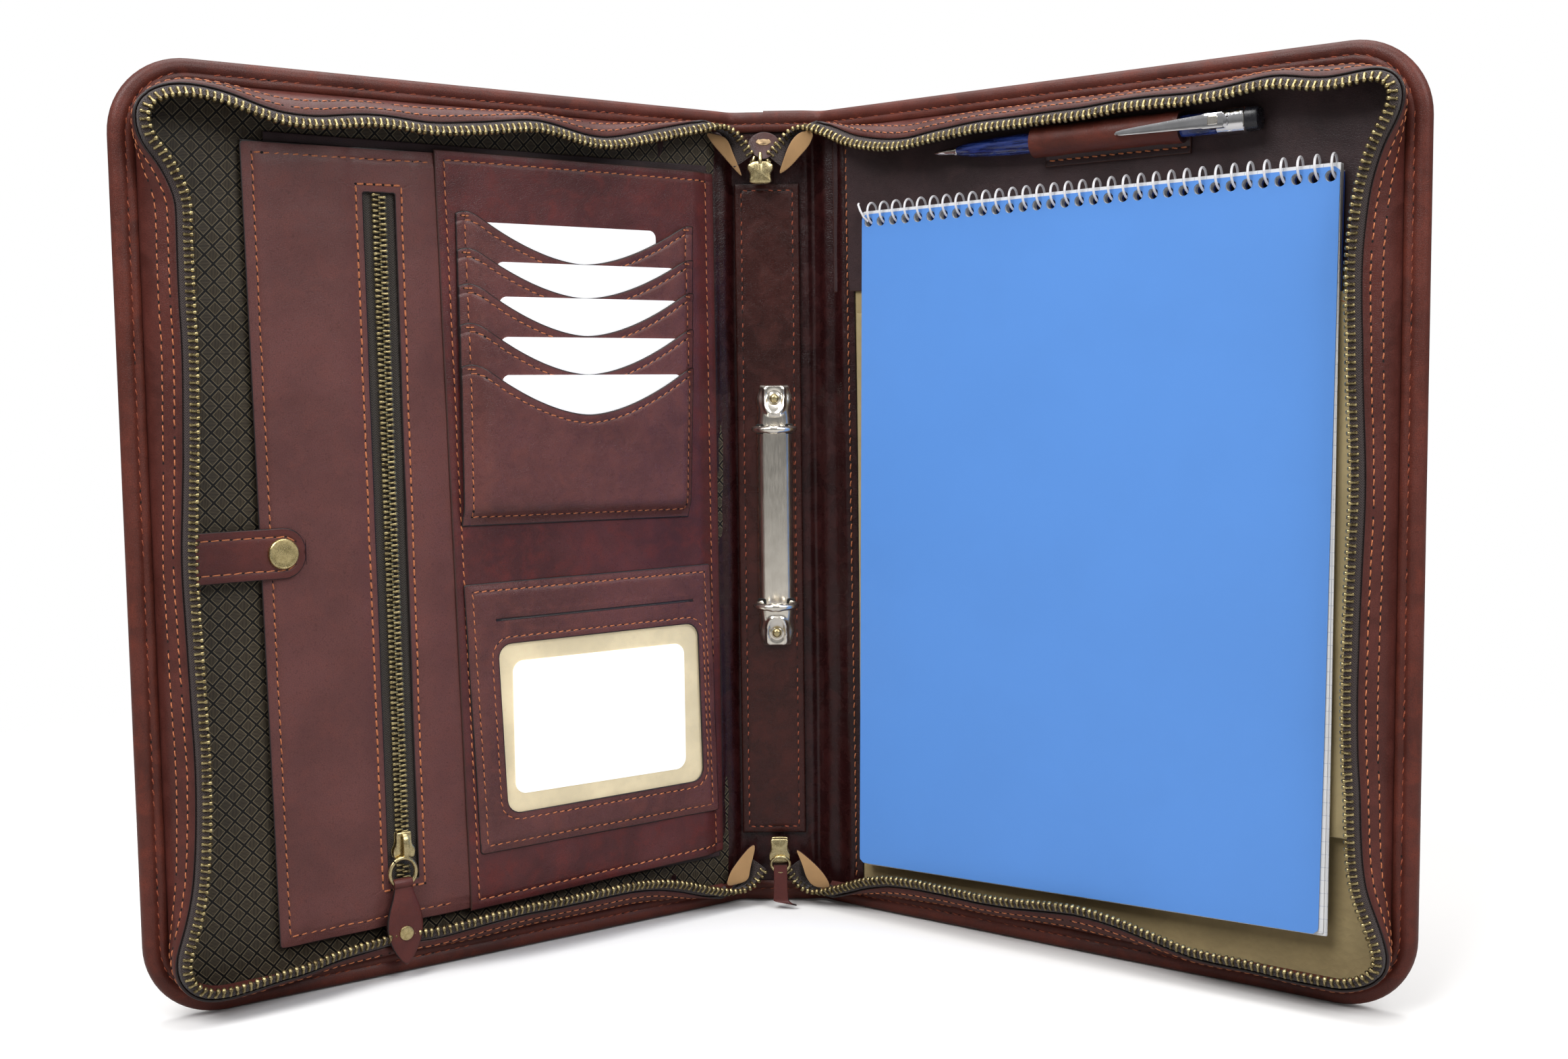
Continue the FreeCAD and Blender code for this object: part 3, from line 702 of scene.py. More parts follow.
def rounded_box(x0, x1, z0, z1, radius, corner=7, side=24):
    """Counter-clockwise rectangle with corner points a corner and side points a side."""
    centres = [(x1 - radius, z0 + radius), (x1 - radius, z1 - radius),
               (x0 + radius, z1 - radius), (x0 + radius, z0 + radius)]
    corners = []
    for centre, start in zip(centres, (-90, 0, 90, 180)):
        angle = np.radians(start + np.linspace(0, 90, corner))
        corners.append(np.stack([centre[0] + radius * np.cos(angle),
                                 centre[1] + radius * np.sin(angle)], 1))
    share = np.linspace(0, 1, side + 2)[1:-1, None]
    points = []
    for i, here in enumerate(corners):
        start, end = here[-1], corners[(i + 1) % 4][0]
        points += [here, start + (end - start) * share]
    return np.concatenate(points)


def bar(half_width, half_height, radius, corner=3, side=2):
    """Rounded rectangle about the origin, for sections of bars."""
    return rounded_box(-half_width, half_width, -half_height, half_height, radius, corner, side)


def box_depth(x, z, x0, x1, z0, z1, radius):
    """Signed distance to a rounded rectangle, positive inside."""
    beyond_x = np.abs(x - (x0 + x1) / 2) - (x1 - x0) / 2 + radius
    beyond_z = np.abs(z - (z0 + z1) / 2) - (z1 - z0) / 2 + radius
    return (radius - np.hypot(np.maximum(beyond_x, 0), np.maximum(beyond_z, 0))
            - np.minimum(np.maximum(beyond_x, beyond_z), 0))


def hills(x, z, scale=1.0, seed=0.0):
    """Smooth pseudo-random hills, about -1 to 1."""
    return (np.sin(x * 0.061 * scale + 1.3 + seed) * np.cos(z * 0.043 * scale - 0.7 + seed * 2)
            + 0.6 * np.sin(x * 0.11 * scale - z * 0.083 * scale + seed * 3)
            + 0.4 * np.sin(z * 0.17 * scale + 2.1 * np.sin(x * 0.05) + seed)) / 2.0


EDGE_GRID = [0.0, 0.08, 0.25, 0.5, 0.9, 1.6]    # distances of grid lines from a panel's edge


def groove_grid(depth, width=0.55):
    """Grid lines at an edge that has a groove for stitches at the given depth."""
    lines = [line for line in EDGE_GRID if line < depth - width - 0.3]
    return lines + [depth - width, depth - width / 2, depth, depth + width / 2, depth + width,
                    depth + width + 1.2]


def spread(start, end, step, grid=EDGE_GRID, end_grid=None):
    """Stations from start to end, with a grid of lines at both ends."""
    end_grid = grid if end_grid is None else end_grid
    first, last = start + grid[-1], end - end_grid[-1]
    count = max(2, int((last - first) / step) + 2)
    return np.concatenate([start + np.array(grid), np.linspace(first, last, count)[1:-1],
                           (end - np.array(end_grid))[::-1]])


def as_function(value):
    return value if callable(value) else lambda *_: value


# ---------------------------------------------------------------- panels
def panel(piece, side, x, z, edge, top, bottom, faces, loops, mat, edge_mat, radius, rim, warp):
    """Panel with rounded edges; faces within rim of the outline take edge_mat."""
    upper, lower = top(x, z, edge) + z * 0, bottom(x, z, edge) + z * 0
    radius = np.minimum(radius, np.maximum((upper - lower) * 0.49, 0.01))
    inner = radius - np.minimum(edge, radius)
    drop = radius - np.sqrt(np.maximum(radius ** 2 - inner ** 2, 0))
    if warp:
        x, z = warp(x, z)
    edge_mat = mat if edge_mat is None else edge_mat
    mats = np.where(edge.ravel()[faces].mean(1) < rim, edge_mat, mat)
    add_skins(piece, side, x, z, upper - drop, lower + drop, faces,
              [wall(loop, x.size) for loop in loops], mats, edge_mat,
              np.stack([x, z], -1).reshape(-1, 2), np.exp(-edge / 1.4).ravel())


def sheet(piece, side, xs, low, high, top, bottom, grid=EDGE_GRID, high_grid=None, step=9.0,
          mat=0, edge_mat=None, radius=0.45, rim=0.5, warp=None):
    """Panel between low(x) and high(x). top and bottom give heights from (x, z, edge),
    edge being the distance to the outline. Any of the four may be a plain number."""
    low, high, top, bottom = map(as_function, (low, high, top, bottom))
    z0, z1 = low(xs) + xs * 0, high(xs) + xs * 0
    grid = np.array(grid)
    high_grid = grid if high_grid is None else np.array(high_grid)
    span = z1 - z0 - grid[-1] - high_grid[-1]
    middle = np.linspace(0, 1, max(2, int(np.max(span) / step) + 2))[1:-1]
    z = np.concatenate([z0[:, None] + grid, (z0 + grid[-1])[:, None] + span[:, None] * middle,
                        (z1[:, None] - high_grid)[:, ::-1]], 1)
    x = xs[:, None] + z * 0
    tiny = 1e-3

    def steepness(curve):
        slope = (curve(xs + tiny) - curve(xs - tiny)) / (2 * tiny) + xs * 0
        return np.sqrt(1 + slope ** 2)[:, None]

    edge = np.minimum(np.minimum(x - xs[0], xs[-1] - x),
                      np.minimum((z - z0[:, None]) / steepness(low),
                                 (z1[:, None] - z) / steepness(high)))
    panel(piece, side, x, z, np.maximum(edge, 0), top, bottom, grid_faces(*x.shape),
          [grid_border(*x.shape)], mat, edge_mat, radius, rim, warp)


def window_sheet(piece, side, outer, inner, top, bottom, outer_grid, inner_grid, radius, rim,
                 warp, middle, side_points):
    """Panel with one window; outer and inner are (x0, x1, z0, z1, corner radius)."""
    start = rounded_box(*outer, side=side_points)
    end = rounded_box(*inner, side=side_points)
    width = np.linalg.norm(start - end, axis=1)
    shares = [line / width for line in outer_grid]
    shares += [outer_grid[-1] / width + (1 - (outer_grid[-1] + inner_grid[-1]) / width) * share
               for share in np.linspace(0, 1, middle + 2)[1:-1]]
    shares += [1 - line / width for line in inner_grid[::-1]]
    points = start[:, None] + (end - start)[:, None] * np.stack(shares, 1)[..., None]
    x, z = points[..., 0], points[..., 1]
    edge = np.minimum(np.maximum(box_depth(x, z, *outer), 0),
                      np.maximum(-box_depth(x, z, *inner), 0))
    index = np.arange(x.size).reshape(x.shape)
    panel(piece, side, x, z, edge, top, bottom, grid_faces(*x.shape, wrap=True),
          [index[:, 0], index[:, -1]], 0, 1, radius, rim, warp)


# ---------------------------------------------------------------- stitches
# Height (share of the radius) and width of a stitch at stations along its length.
THREAD_STATIONS = [(-0.5, 0.45, -0.30), (-0.36, 0.9, 0.02), (0.0, 1.0, 0.12), (0.36, 0.9, 0.02),
                   (0.5, 0.45, -0.30)]     # (share of length, width factor, lift factor)


def thread_template(length, radius):
    angle = full_turn(6)
    return loft([xyz(x * length, radius * width * np.cos(angle),
                     radius * 0.85 * width * np.sin(angle) + lift * radius * 2.2)
                 for x, width, lift in THREAD_STATIONS])


def hole_template(radius, height=0.06):
    x, y = np.cos(full_turn(8)), np.sin(full_turn(8))
    return loft([xyz(radius * x, radius * y, -0.25), xyz(radius * x, radius * y, height * 0.6),
                 xyz(radius * 0.7 * x, radius * 0.7 * y, height)])


def sew(piece, side, line, normals, pitch=3.8, fill=0.70, radius=0.30, slant=0.16, hole=0.46,
        skip=0.0, lift=0.05):
    """Row of stitches along a line in the flat frame, with dark discs of painted shade for the
    needle holes between them.

    fill is the share of the pitch that thread covers, skip the share of missing stitches.
    """
    lengths = arc(line)
    total = lengths[-1]
    count = max(2, int(round(total / pitch)))
    table = np.concatenate([line, normals], 1)
    where = (np.arange(count) + 0.5) * total / count
    here = look_up(where, lengths, table)
    centres, normal = here[:, :3], here[:, 3:]
    normal = normal / np.linalg.norm(normal, axis=1, keepdims=True)
    along = (look_up(where + 0.4, lengths, table) - look_up(where - 0.4, lengths, table))[:, :3]
    along = along / np.maximum(np.linalg.norm(along, axis=1, keepdims=True), 1e-9)
    across = np.cross(normal, along)
    angle = (slant + RNG.normal(0, 0.05, count))[:, None]
    turned = along * np.cos(angle) + across * np.sin(angle)
    centres = centres + across * RNG.normal(0, 0.05, count)[:, None]
    keep = RNG.random(count) >= skip
    spacing = total / count
    piece.add(side, *copies(thread_template(spacing * fill, radius),
                            (centres + normal * lift)[keep], turned[keep],
                            np.cross(normal, turned)[keep], normal[keep]), THREAD_SLOT)
    # dark discs in the needle holes: painted shade
    piece.add(side, *copies(hole_template(hole), centres + along * (spacing * 0.5),
                            along * 1.25, across, normal), HOLE_SLOT)


def stitch(piece, side, line, height, warp=None, sink=0.0, **style):
    """Row of stitches on a panel: line is (x, z) points, height its surface or a number."""
    x, z = resample(line, 1.0).T
    y = as_function(height)(x, z, 0) - sink
    if warp:
        x, z = warp(x, z)
    sew(piece, side, xyz(x, y, z), np.tile(INTO, (len(x), 1)), **style)


def stitch_sides(piece, side, corners, height, **style):
    """A separate row of stitches between each two corners."""
    for line in zip(corners[:-1], corners[1:]):
        stitch(piece, side, line, height, **style)


PANEL_STITCH = dict(pitch=3.8, fill=0.72, radius=0.32, hole=0.5, sink=0.02)
POCKET_STITCH = dict(pitch=3.55, fill=0.70, radius=0.28, hole=0.42, sink=0.02)


# ---------------------------------------------------------------- solids
def tube(piece, side, path, radius, segments=10, closed=False):
    """Round bar along a path; radius may be a list with one value a point."""
    path = np.asarray(path, float)
    along = tangents(path, closed)
    normal = unit(np.cross(along[0], UP if abs(along[0][2]) < 0.9 else [1.0, 0.0, 0.0]))
    normals = [normal]
    for tangent in along[1:]:
        normals.append(unit(normals[-1] - tangent * np.dot(normals[-1], tangent)))
    normals = np.array(normals)
    across = np.cross(along, normals)
    angle = full_turn(segments)[None, :, None]
    radii = np.broadcast_to(radius, (len(path),))[:, None, None]
    rings = path[:, None] + radii * (np.cos(angle) * normals[:, None]
                                     + np.sin(angle) * across[:, None])
    if not closed:
        piece.add(side, *loft(rings))
        return
    count, size = rings.shape[:2]
    i, j = np.meshgrid(np.arange(count), np.arange(size), indexing="ij")
    i, j = i.ravel(), j.ravel()
    # the last ring meets the first where it lies nearest
    nearest = np.argmin(np.linalg.norm(rings[-1][0] - rings[0], axis=1))
    shift = np.where(i == count - 1, nearest, 0)
    after = (i + 1) % count * size
    piece.add(side, rings, np.stack([i * size + j, i * size + (j + 1) % size,
                                     after + (j + 1 + shift) % size,
                                     after + (j + shift) % size], 1))


def lathe(piece, side, centre, axis, profile, segments=32, mat=0):
    """Turned part: profile is (radius, distance along axis "x" or "y") from the centre.

    mat is one slot, or a slot for each band between two profile points.
    """
    first, second = np.cos(full_turn(segments)), np.sin(full_turn(segments))
    sections = []
    for radius, along in profile:
        radius = max(radius, 0.01)
        if axis == "x":
            offset = xyz(along, radius * first, radius * second)
        else:
            offset = xyz(radius * first, along, radius * second)
        sections.append(centre + offset)
    mats = np.broadcast_to(mat, (len(profile) - 1,))
    piece.add(side, *loft(sections),
              [np.repeat(mats, segments), np.repeat([mats[0], mats[-1]], segments)])


def plate(piece, side, outline, low, high, bevel=0.5, dome=0.0, mat=0, edge_mat=None, bend=None,
          rings=4):
    """Plate with a nearly convex outline: rounded edges, slightly domed face.

    bend(x, z) is added to its height.
    """
    count = len(outline)
    along = tangents(outline, True)
    inward = np.stack([-along[:, 1], along[:, 0]], 1)
    following = np.roll(outline, -1, 0)
    if np.sum(outline[:, 0] * following[:, 1] - following[:, 0] * outline[:, 1]) < 0:
        inward = -inward
    thick = high - low
    bevel = min(bevel, thick * 0.49)
    profile = [     # (inset, height)
        (bevel, 0.0), (bevel * 0.4, bevel * 0.18), (0.0, bevel * 0.6), (0.0, thick - bevel),
        (bevel * 0.12, thick - bevel * 0.55), (bevel * 0.4, thick - bevel * 0.2), (bevel, thick)]
    sections = []
    for inset, height in profile:
        ring = outline + inward * inset
        sections.append(xyz(ring[:, 0], low + height, ring[:, 1]))
    face = outline + inward * bevel
    for i in range(1, rings + 1):
        share = i / (rings + 0.4)
        ring = face + (outline.mean(0) - face) * share
        sections.append(xyz(ring[:, 0], high + dome * (1 - (1 - share) ** 2), ring[:, 1]))
    points, faces = loft(sections)
    if bend is not None:
        points[:, 1] += bend(points[:, 0], points[:, 2])
    edge_mat = mat if edge_mat is None else edge_mat
    mats = np.where(np.arange(len(sections) - 1) < 5, edge_mat, mat)
    piece.add(side, points, faces, [np.repeat(mats, count), np.repeat([edge_mat, mat], count)],
              points[:, [0, 2]])


def strip_uv(across, along):
    """UVs of a loft laid out as a strip, and of its two cap centres."""
    return np.concatenate([np.stack(np.meshgrid(across, along), -1).reshape(-1, 2),
                           np.zeros((2, 2))])


# ---------------------------------------------------------------- cover outline
def cover_low(inset):
    """Lower edge of a cover moved in by inset, rounded at its outer corner."""
    radius = CORNER - inset

    def low(x):
        share = np.clip((x - (COVER_W - CORNER)) / radius, 0, 1)
        return inset + radius - radius * np.sqrt(np.maximum(1 - share ** 2, 0))
    return low


def cover_high(inset):
    low = cover_low(inset)
    return lambda x: HEIGHT - low(x)


def cover_xs(inset, start, step=9.0):
    straight = spread(start, COVER_W - CORNER, step, EDGE_GRID, [0.0])
    angle = np.radians(np.linspace(0, 90, 15))[1:]
    corner = COVER_W - CORNER + (CORNER - inset) * np.sin(angle)
    corner[-1] -= 1e-4
    return np.concatenate([straight, corner])


def edge_stations(start, step, corner=16):
    """Stations round a cover's edge, from the top at x = start round to the bottom.

    Returns edge points, outward directions, both (x, z), and the angle turned in a corner.
    """
    run = np.arange(start, COVER_W - CORNER, step)
    rise = np.linspace(HEIGHT - CORNER, CORNER, int((HEIGHT - 2 * CORNER) / step) + 1)[1:-1]
    turn = np.radians(np.linspace(0, 90, corner))
    turns = [0 * run, turn, 0 * rise, turn, 0 * run]
    heading = np.concatenate([np.radians(begin) + part
                              for begin, part in zip((0, 0, 90, 90, 180), turns)])
    outward = np.stack([np.sin(heading), np.cos(heading)], 1)
    centre_x = np.concatenate([run, np.full(2 * corner + len(rise), COVER_W - CORNER), run[::-1]])
    centre_z = np.concatenate([np.full(len(run) + corner, HEIGHT - CORNER), rise,
                               np.full(corner + len(run), CORNER)])
    edge = np.stack([centre_x, centre_z], 1) + CORNER * outward
    return edge, outward, np.concatenate(turns)


# ---------------------------------------------------------------- shell, binding and linings
def shell(side):
    """Outside leather over the board and half the spine, with soft grooves at the hinge."""
    piece = sewn_piece("outer_leather_" + side, OUTSIDE, thread=THREAD_DARK)
    start = -HINGE_X - (0.4 if side == "R" else 0)
    xs = np.unique(np.concatenate([cover_xs(4.5, start), np.linspace(-10, 10, 17)]))

    def bottom(x, z, edge):
        grooves = 1.3 * bell(x, 3.5, 2.6) + 1.3 * bell(x, -4.5, 2.6)
        return -2.95 + grooves * 0.8 - 0.10 * hills(x, z) - 0.35 * bell(edge, 8.0, 6)

    sheet(piece, side + "B", xs, cover_low(4.5), cover_high(4.5), -0.6, bottom,
          grid=[0, 0.3, 1, 3], radius=0.3, step=8)
    extra = ["spine_shell"] if side == "L" else []
    piece.build(HINGE_BEND[side], "leather", SIDE_NAMES[side] + "_shell", *extra)


# Section of the binding, (inset from the cover's edge, height), from the inner lip round
# the board to the outer lip.
BINDING_SECTION = [
    (9.6, 1.2), (9.45, 2.1), (9.1, 2.55), (8.4, 2.95), (7.6, 3.15), (6.6, 3.15), (6.1, 2.92),
    (5.8, 2.78), (5.5, 2.92), (5.0, 3.22), (4.0, 3.5), (2.8, 3.45), (1.7, 3.05), (0.85, 2.35),
    (0.3, 1.4), (0.05, 0.3), (0.15, -0.9), (0.6, -2.0), (1.4, -2.85), (2.6, -3.35),
    (4.0, -3.45), (5.0, -3.3), (5.5, -3.05), (5.8, -2.95), (6.1, -3.05), (6.6, -3.3),
    (7.8, -3.35), (8.8, -3.2), (9.3, -2.95), (9.6, -2.4)]
BINDING_START = {"L": -HINGE_X + 3.0, "R": -HINGE_X - 5.0}


def binding(side):
    """Folded strip round the board's edge, sewn through both sides."""
    piece = sewn_piece("binding_" + side, BINDING, thread=THREAD_DARK)
    edge, outward, turn = edge_stations(BINDING_START[side], 2.4)
    inset, height = np.array(BINDING_SECTION).T
    # the right binding grows thicker at the top, over the spine
    thicker = 0.55 * ease((6.0 - edge[:, 0]) / 14.0) * (outward[:, 1] > 0) * (side == "R")
    more = thicker[:, None]
    station = np.arange(len(edge))[:, None]
    wave = 0.10 * np.sin(station * 0.31) + 0.07 * np.sin(station * 0.83 + 1)
    wrinkle = (0.22 * np.sin(turn * 26) * np.sin(turn * 2) ** 0.5)[:, None]
    sign = np.sign(height)
    swell = sign * np.clip(np.abs(height) / 3.4, 0, 1)
    insets = inset - more * (inset < 2) + 0.12 * wave
    insets = np.where(more == 0, np.maximum(insets, 0.0), insets)
    heights = (height + swell * (more + wave * (inset < 8))
               + wrinkle * (inset > 6) * sign * (np.abs(height) > 2))
    points, (sides, caps) = loft(xyz(edge[:, :1] - outward[:, :1] * insets, heights,
                                     edge[:, 1:] - outward[:, 1:] * insets))
    size = len(inset)
    wear = np.zeros((len(edge), size))
    wear[:, 0:2] = 0.9
    wear[:, -2:] = 0.9
    # darker in the stitch groove: painted shade; darker on the outer fold: wear
    wear[:, 6:9] = 0.35
    wear[:, 13:17] = 0.25
    lip = np.isin(sides % size, [size - 2, size - 1, 0, 1]).all(1)
    piece.add(side + "B", points, [sides[~lip], sides[lip], caps], [0, 1, 1],
              strip_uv(arc(np.array(BINDING_SECTION)), arc(edge - 5.0 * outward)),
              np.concatenate([wear.ravel(), [1, 1]]))
    seam = edge - 5.8 * outward
    for sign, height in ((1, 2.72), (-1, 2.98)):
        line = xyz(seam[:, 0], sign * (height + thicker), seam[:, 1])
        sew(piece, side + "B", line, np.tile(sign * INTO, (len(line), 1)), pitch=4.3, fill=0.62,
            radius=0.26, slant=0.2, hole=0.42, skip=0.12, lift=0.10)
    nodes = {"L": ("left_binding", "spine_binding"), "R": ("right_binding",)}[side]
    piece.build(HINGE_BEND[side], "leather", *nodes)


def cover_lining(side, material, slot, start, height, scale, seed):
    """Lining of a board: woven on the left, beige on the right."""
    name = SIDE_NAMES[side]
    piece = Piece("lining_" + name, material)
    sheet(piece, side, cover_xs(9.0, start), cover_low(9.0), cover_high(9.0),
          lambda x, z, edge: height + 0.35 * hills(x, z, scale, seed) * ease(edge / 12), 0.2,
          step=7)
    piece.build(name + "_cover", slot, name + "_lining")


def lining_folds(side, x, z, edge):
    """Height of the spine lining, in soft vertical folds over a hinge."""
    across = x + HINGE_X
    if side == "L":
        height = (1.35 + 1.3 * bell(across, 24.5, 3.6) + 0.5 * bell(across, 30.5, 1.8)
                  - 0.5 * bell(across, 20.0, 1.6))
    else:
        height = (1.35 + 2.3 * bell(across, 24.0, 5.0) + 0.9 * bell(across, 14.0, 1.7)
                  - 0.7 * bell(across, 17.2, 1.3) + 0.25 * bell(across, 31, 1.4))
    height = (height + 0.28 * np.sin(z * 0.035 + across * 0.35) * ease((across - 12) / 6)
              + 0.18 * hills(x, z, 2.0))
    if side == "L":
        return np.minimum(height, np.where(x > 13, 2.0, 9.0))
    share = ease((x - 6) / 9)
    roll = 2.35 + 1.5 * bell(x, 13.2, 3.4) + 0.10 * np.sin(z * 0.05)
    return height * (1 - share) + roll * share


def right_lining_slant(x, z):
    return x + (0.6 + 2.9 * (1 - z / 345.0)) * ease((x - 6.0) / 9.0), z


def spine_lining(side):
    """Glossy dark leather from the spine over one hinge; the right end is sewn down."""
    piece = sewn_piece("spine_lining_" + side, SPINE_LINING)
    end = {"L": 39.5, "R": 19.4}[side]
    seam = end - 3.4
    steps = np.array([4.4, 3.9, 3.4, 2.9, 2.4, 1.6, 0.9, 0.5, 0.2, 0.0])
    xs = np.unique(np.concatenate([np.linspace(-HINGE_X - 1.5, 15.0, 62),
                                   np.linspace(15.0, end - 4.4, 6), end - steps]))

    def surface(x, z, edge):
        return lining_folds(side, x, z, edge)

    def grooved(x, z, edge):
        return surface(x, z, edge) - 0.28 * bell(x, seam, 0.5)

    right = side == "R"
    warp = right_lining_slant if right else None
    sheet(piece, side + "B", xs, 8.6, HEIGHT - 8.6, grooved if right else surface, 0.0, step=5,
          edge_mat=1, radius=0.35, rim=0.3, warp=warp)
    if right:
        stitch(piece, side + "B", [(seam, 14), (seam, HEIGHT - 14)], surface, warp=warp,
               sink=0.2, pitch=3.9)
    piece.build(HINGE_BEND[side], "leather_lining", *(["spine_lining"] if side == "L" else []))


def spine_patch():
    """Strip sewn on the spine under the ring mechanism."""
    left, right, low, high, seam = -18.6, 10.8, 32.4, 331.6, 3.1
    piece = sewn_piece("spine_patch", DARK, thread=THREAD_DARK)
    grid = groove_grid(seam)

    def top(x, z, edge):
        return (3.30 + 0.35 * ease(edge / 3.0) - 0.26 * bell(edge, seam, 0.45)
                + 0.12 * hills(x, z, 2.2, 1.0) * ease((edge - 3) / 4))

    sheet(piece, "S", spread(left, right, 2.2, grid), low, high, top, 1.6, grid=grid,
          radius=0.8, step=4)
    x0, x1, z0, z1 = left + seam, right - seam, low + seam, high - seam
    stitch_sides(piece, "S", [(x0, z0), (x0, z1), (x1, z1), (x1, z0), (x0, z0)], 3.40,
                 pitch=4.2, fill=0.55, hole=0.60, skip=0.1, lift=-0.02)
    piece.build("spine", "leather_lining", "spine_patch")


# ---------------------------------------------------------------- ring mechanism
HOUSING = box_mm("ring_housing")
RING_X = HOUSING.mean(0)[0]
HOUSING_LOW, HOUSING_HIGH = HOUSING[:, 2]
RING_ZS = [(HOUSING_LOW + HOUSING_HIGH) / 2 + offset for offset in (-40, 40)]
HOUSING_BASE = 3.45


def housing_crown(share):
    """Height of the housing's arch at a share of its half width."""
    return 5.3 * (1 - np.abs(share) ** 2.6) ** 0.62


def ring_housing():
    """Long arched nickel cover with a U-shaped ridge round a dip at each end."""
    piece = Piece("ring_housing", NICKEL, SHADE_BLACK)
    low, high = HOUSING_LOW, HOUSING_HIGH
    end_steps = np.array([0, 0.15, 0.4, 0.8, 1.4])
    zs = np.unique(np.concatenate([
        low + end_steps, np.linspace(low + 1.4, low + 22, 42),
        np.linspace(low + 22, high - 22, 60), np.linspace(high - 22, high - 1.4, 42),
        high - end_steps]))
    share, z = np.meshgrid(np.linspace(-1, 1, 45), zs, indexing="ij")
    end = np.minimum(z - low, high - z)
    half = 7.1 + 1.65 * ease((end - 1.0) / 6.5) - 0.5 * bell(end, 11.5, 3.0)
    half = half * np.sqrt(np.clip(1 - (1 - np.clip(end / 1.6, 0, 1)) ** 2 * 0.25, 0, 1))
    x = share * half
    height = housing_crown(share) * (0.55 + 0.45 * ease((end - 3) / 10))
    off_ridge = np.hypot(x, np.maximum(end - 8.0, 0) * 0.75) - 4.3
    ridge = bell(off_ridge, 0, 0.85) * ease((14.5 - end) / 1.5) * ease((end - 0.6) / 1.2)
    dip = np.exp(-(np.hypot(x, end - 6.2) / 3.4) ** 4) * ease((14 - end) / 2)
    height = height + 0.75 * ridge - 0.9 * dip
    rounding = np.sqrt(np.clip(1 - (1 - end / 0.8) ** 2, 0, 1))
    height = np.where(end < 0.8, height * rounding, height)
    add_skins(piece, "S", RING_X + x, z, HOUSING_BASE + height, 3.30, grid_faces(*x.shape),
              [wall(grid_border(*x.shape), x.size)])
    # dark plates where the ring wires leave the housing: painted shade in the slots' openings
    surface, reach = HOUSING_BASE + housing_crown(0.75), 6.6
    for ring_z in RING_ZS:
        for sign in (-1, 1):
            slot_x = RING_X + sign * reach
            outline = rounded_box(slot_x - 1.9, slot_x + 1.9, ring_z - 2.3, ring_z + 2.3, 0.8,
                                  corner=4, side=2)
            plate(piece, "S", outline, surface - 1.2, surface + 0.28, bevel=0.15, mat=1,
                  bend=lambda x, z: (reach - np.abs(x - RING_X)) * 0.42)
    piece.build("spine", "nickel", "ring_housing")


def ring_rivets():
    """A rivet near each end of the housing: nickel collar, brass head."""
    piece = Piece("ring_rivets", BRASS_HARDWARE, NICKEL)
    profile = [(3.5, 5.2), (3.5, 6.4), (3.25, 6.9), (2.6, 7.1), (2.45, 6.9), (2.2, 7.0),
               (1.9, 7.7), (1.2, 8.2), (0.5, 8.35)]
    for z in (HOUSING_LOW + 6.2, HOUSING_HIGH - 6.2):
        lathe(piece, "S", (RING_X, 0, z), "y", profile, 30, mat=[1, 1, 1, 1, 1, 0, 0, 0])
    piece.build("spine", "nickel", "ring_rivets")


def repaint(name, material):
    """Give a CAD piece that stays its own material."""
    thing = frame["nodes"][name]
    thing.data.materials.clear()
    thing.data.materials.append(material)
    return thing


def ring_halves():
    for name in ("ring_halves_left", "ring_halves_right"):
        bevel = repaint(name, NICKEL).modifiers.new("soften", "BEVEL")
        bevel.width, bevel.segments, bevel.limit_method = 0.0002, 2, "ANGLE"


def ring_knuckles():
    """Ribbed joint in the middle of each ring."""
    piece = Piece("ring_knuckles", NICKEL)
    ring_front = -box_mm("ring_halves_left")[0][1]
    offset = np.linspace(-3.4, 3.4, 9)
    for z in RING_ZS:
        tube(piece, "S", xyz(RING_X + offset, ring_front - 1.5 - 0.024 * offset ** 2, z),
             [1.52, 1.72, 1.95, 2.0, 1.75, 2.0, 1.95, 1.72, 1.52], segments=16)
    piece.build("ring_left", "nickel")


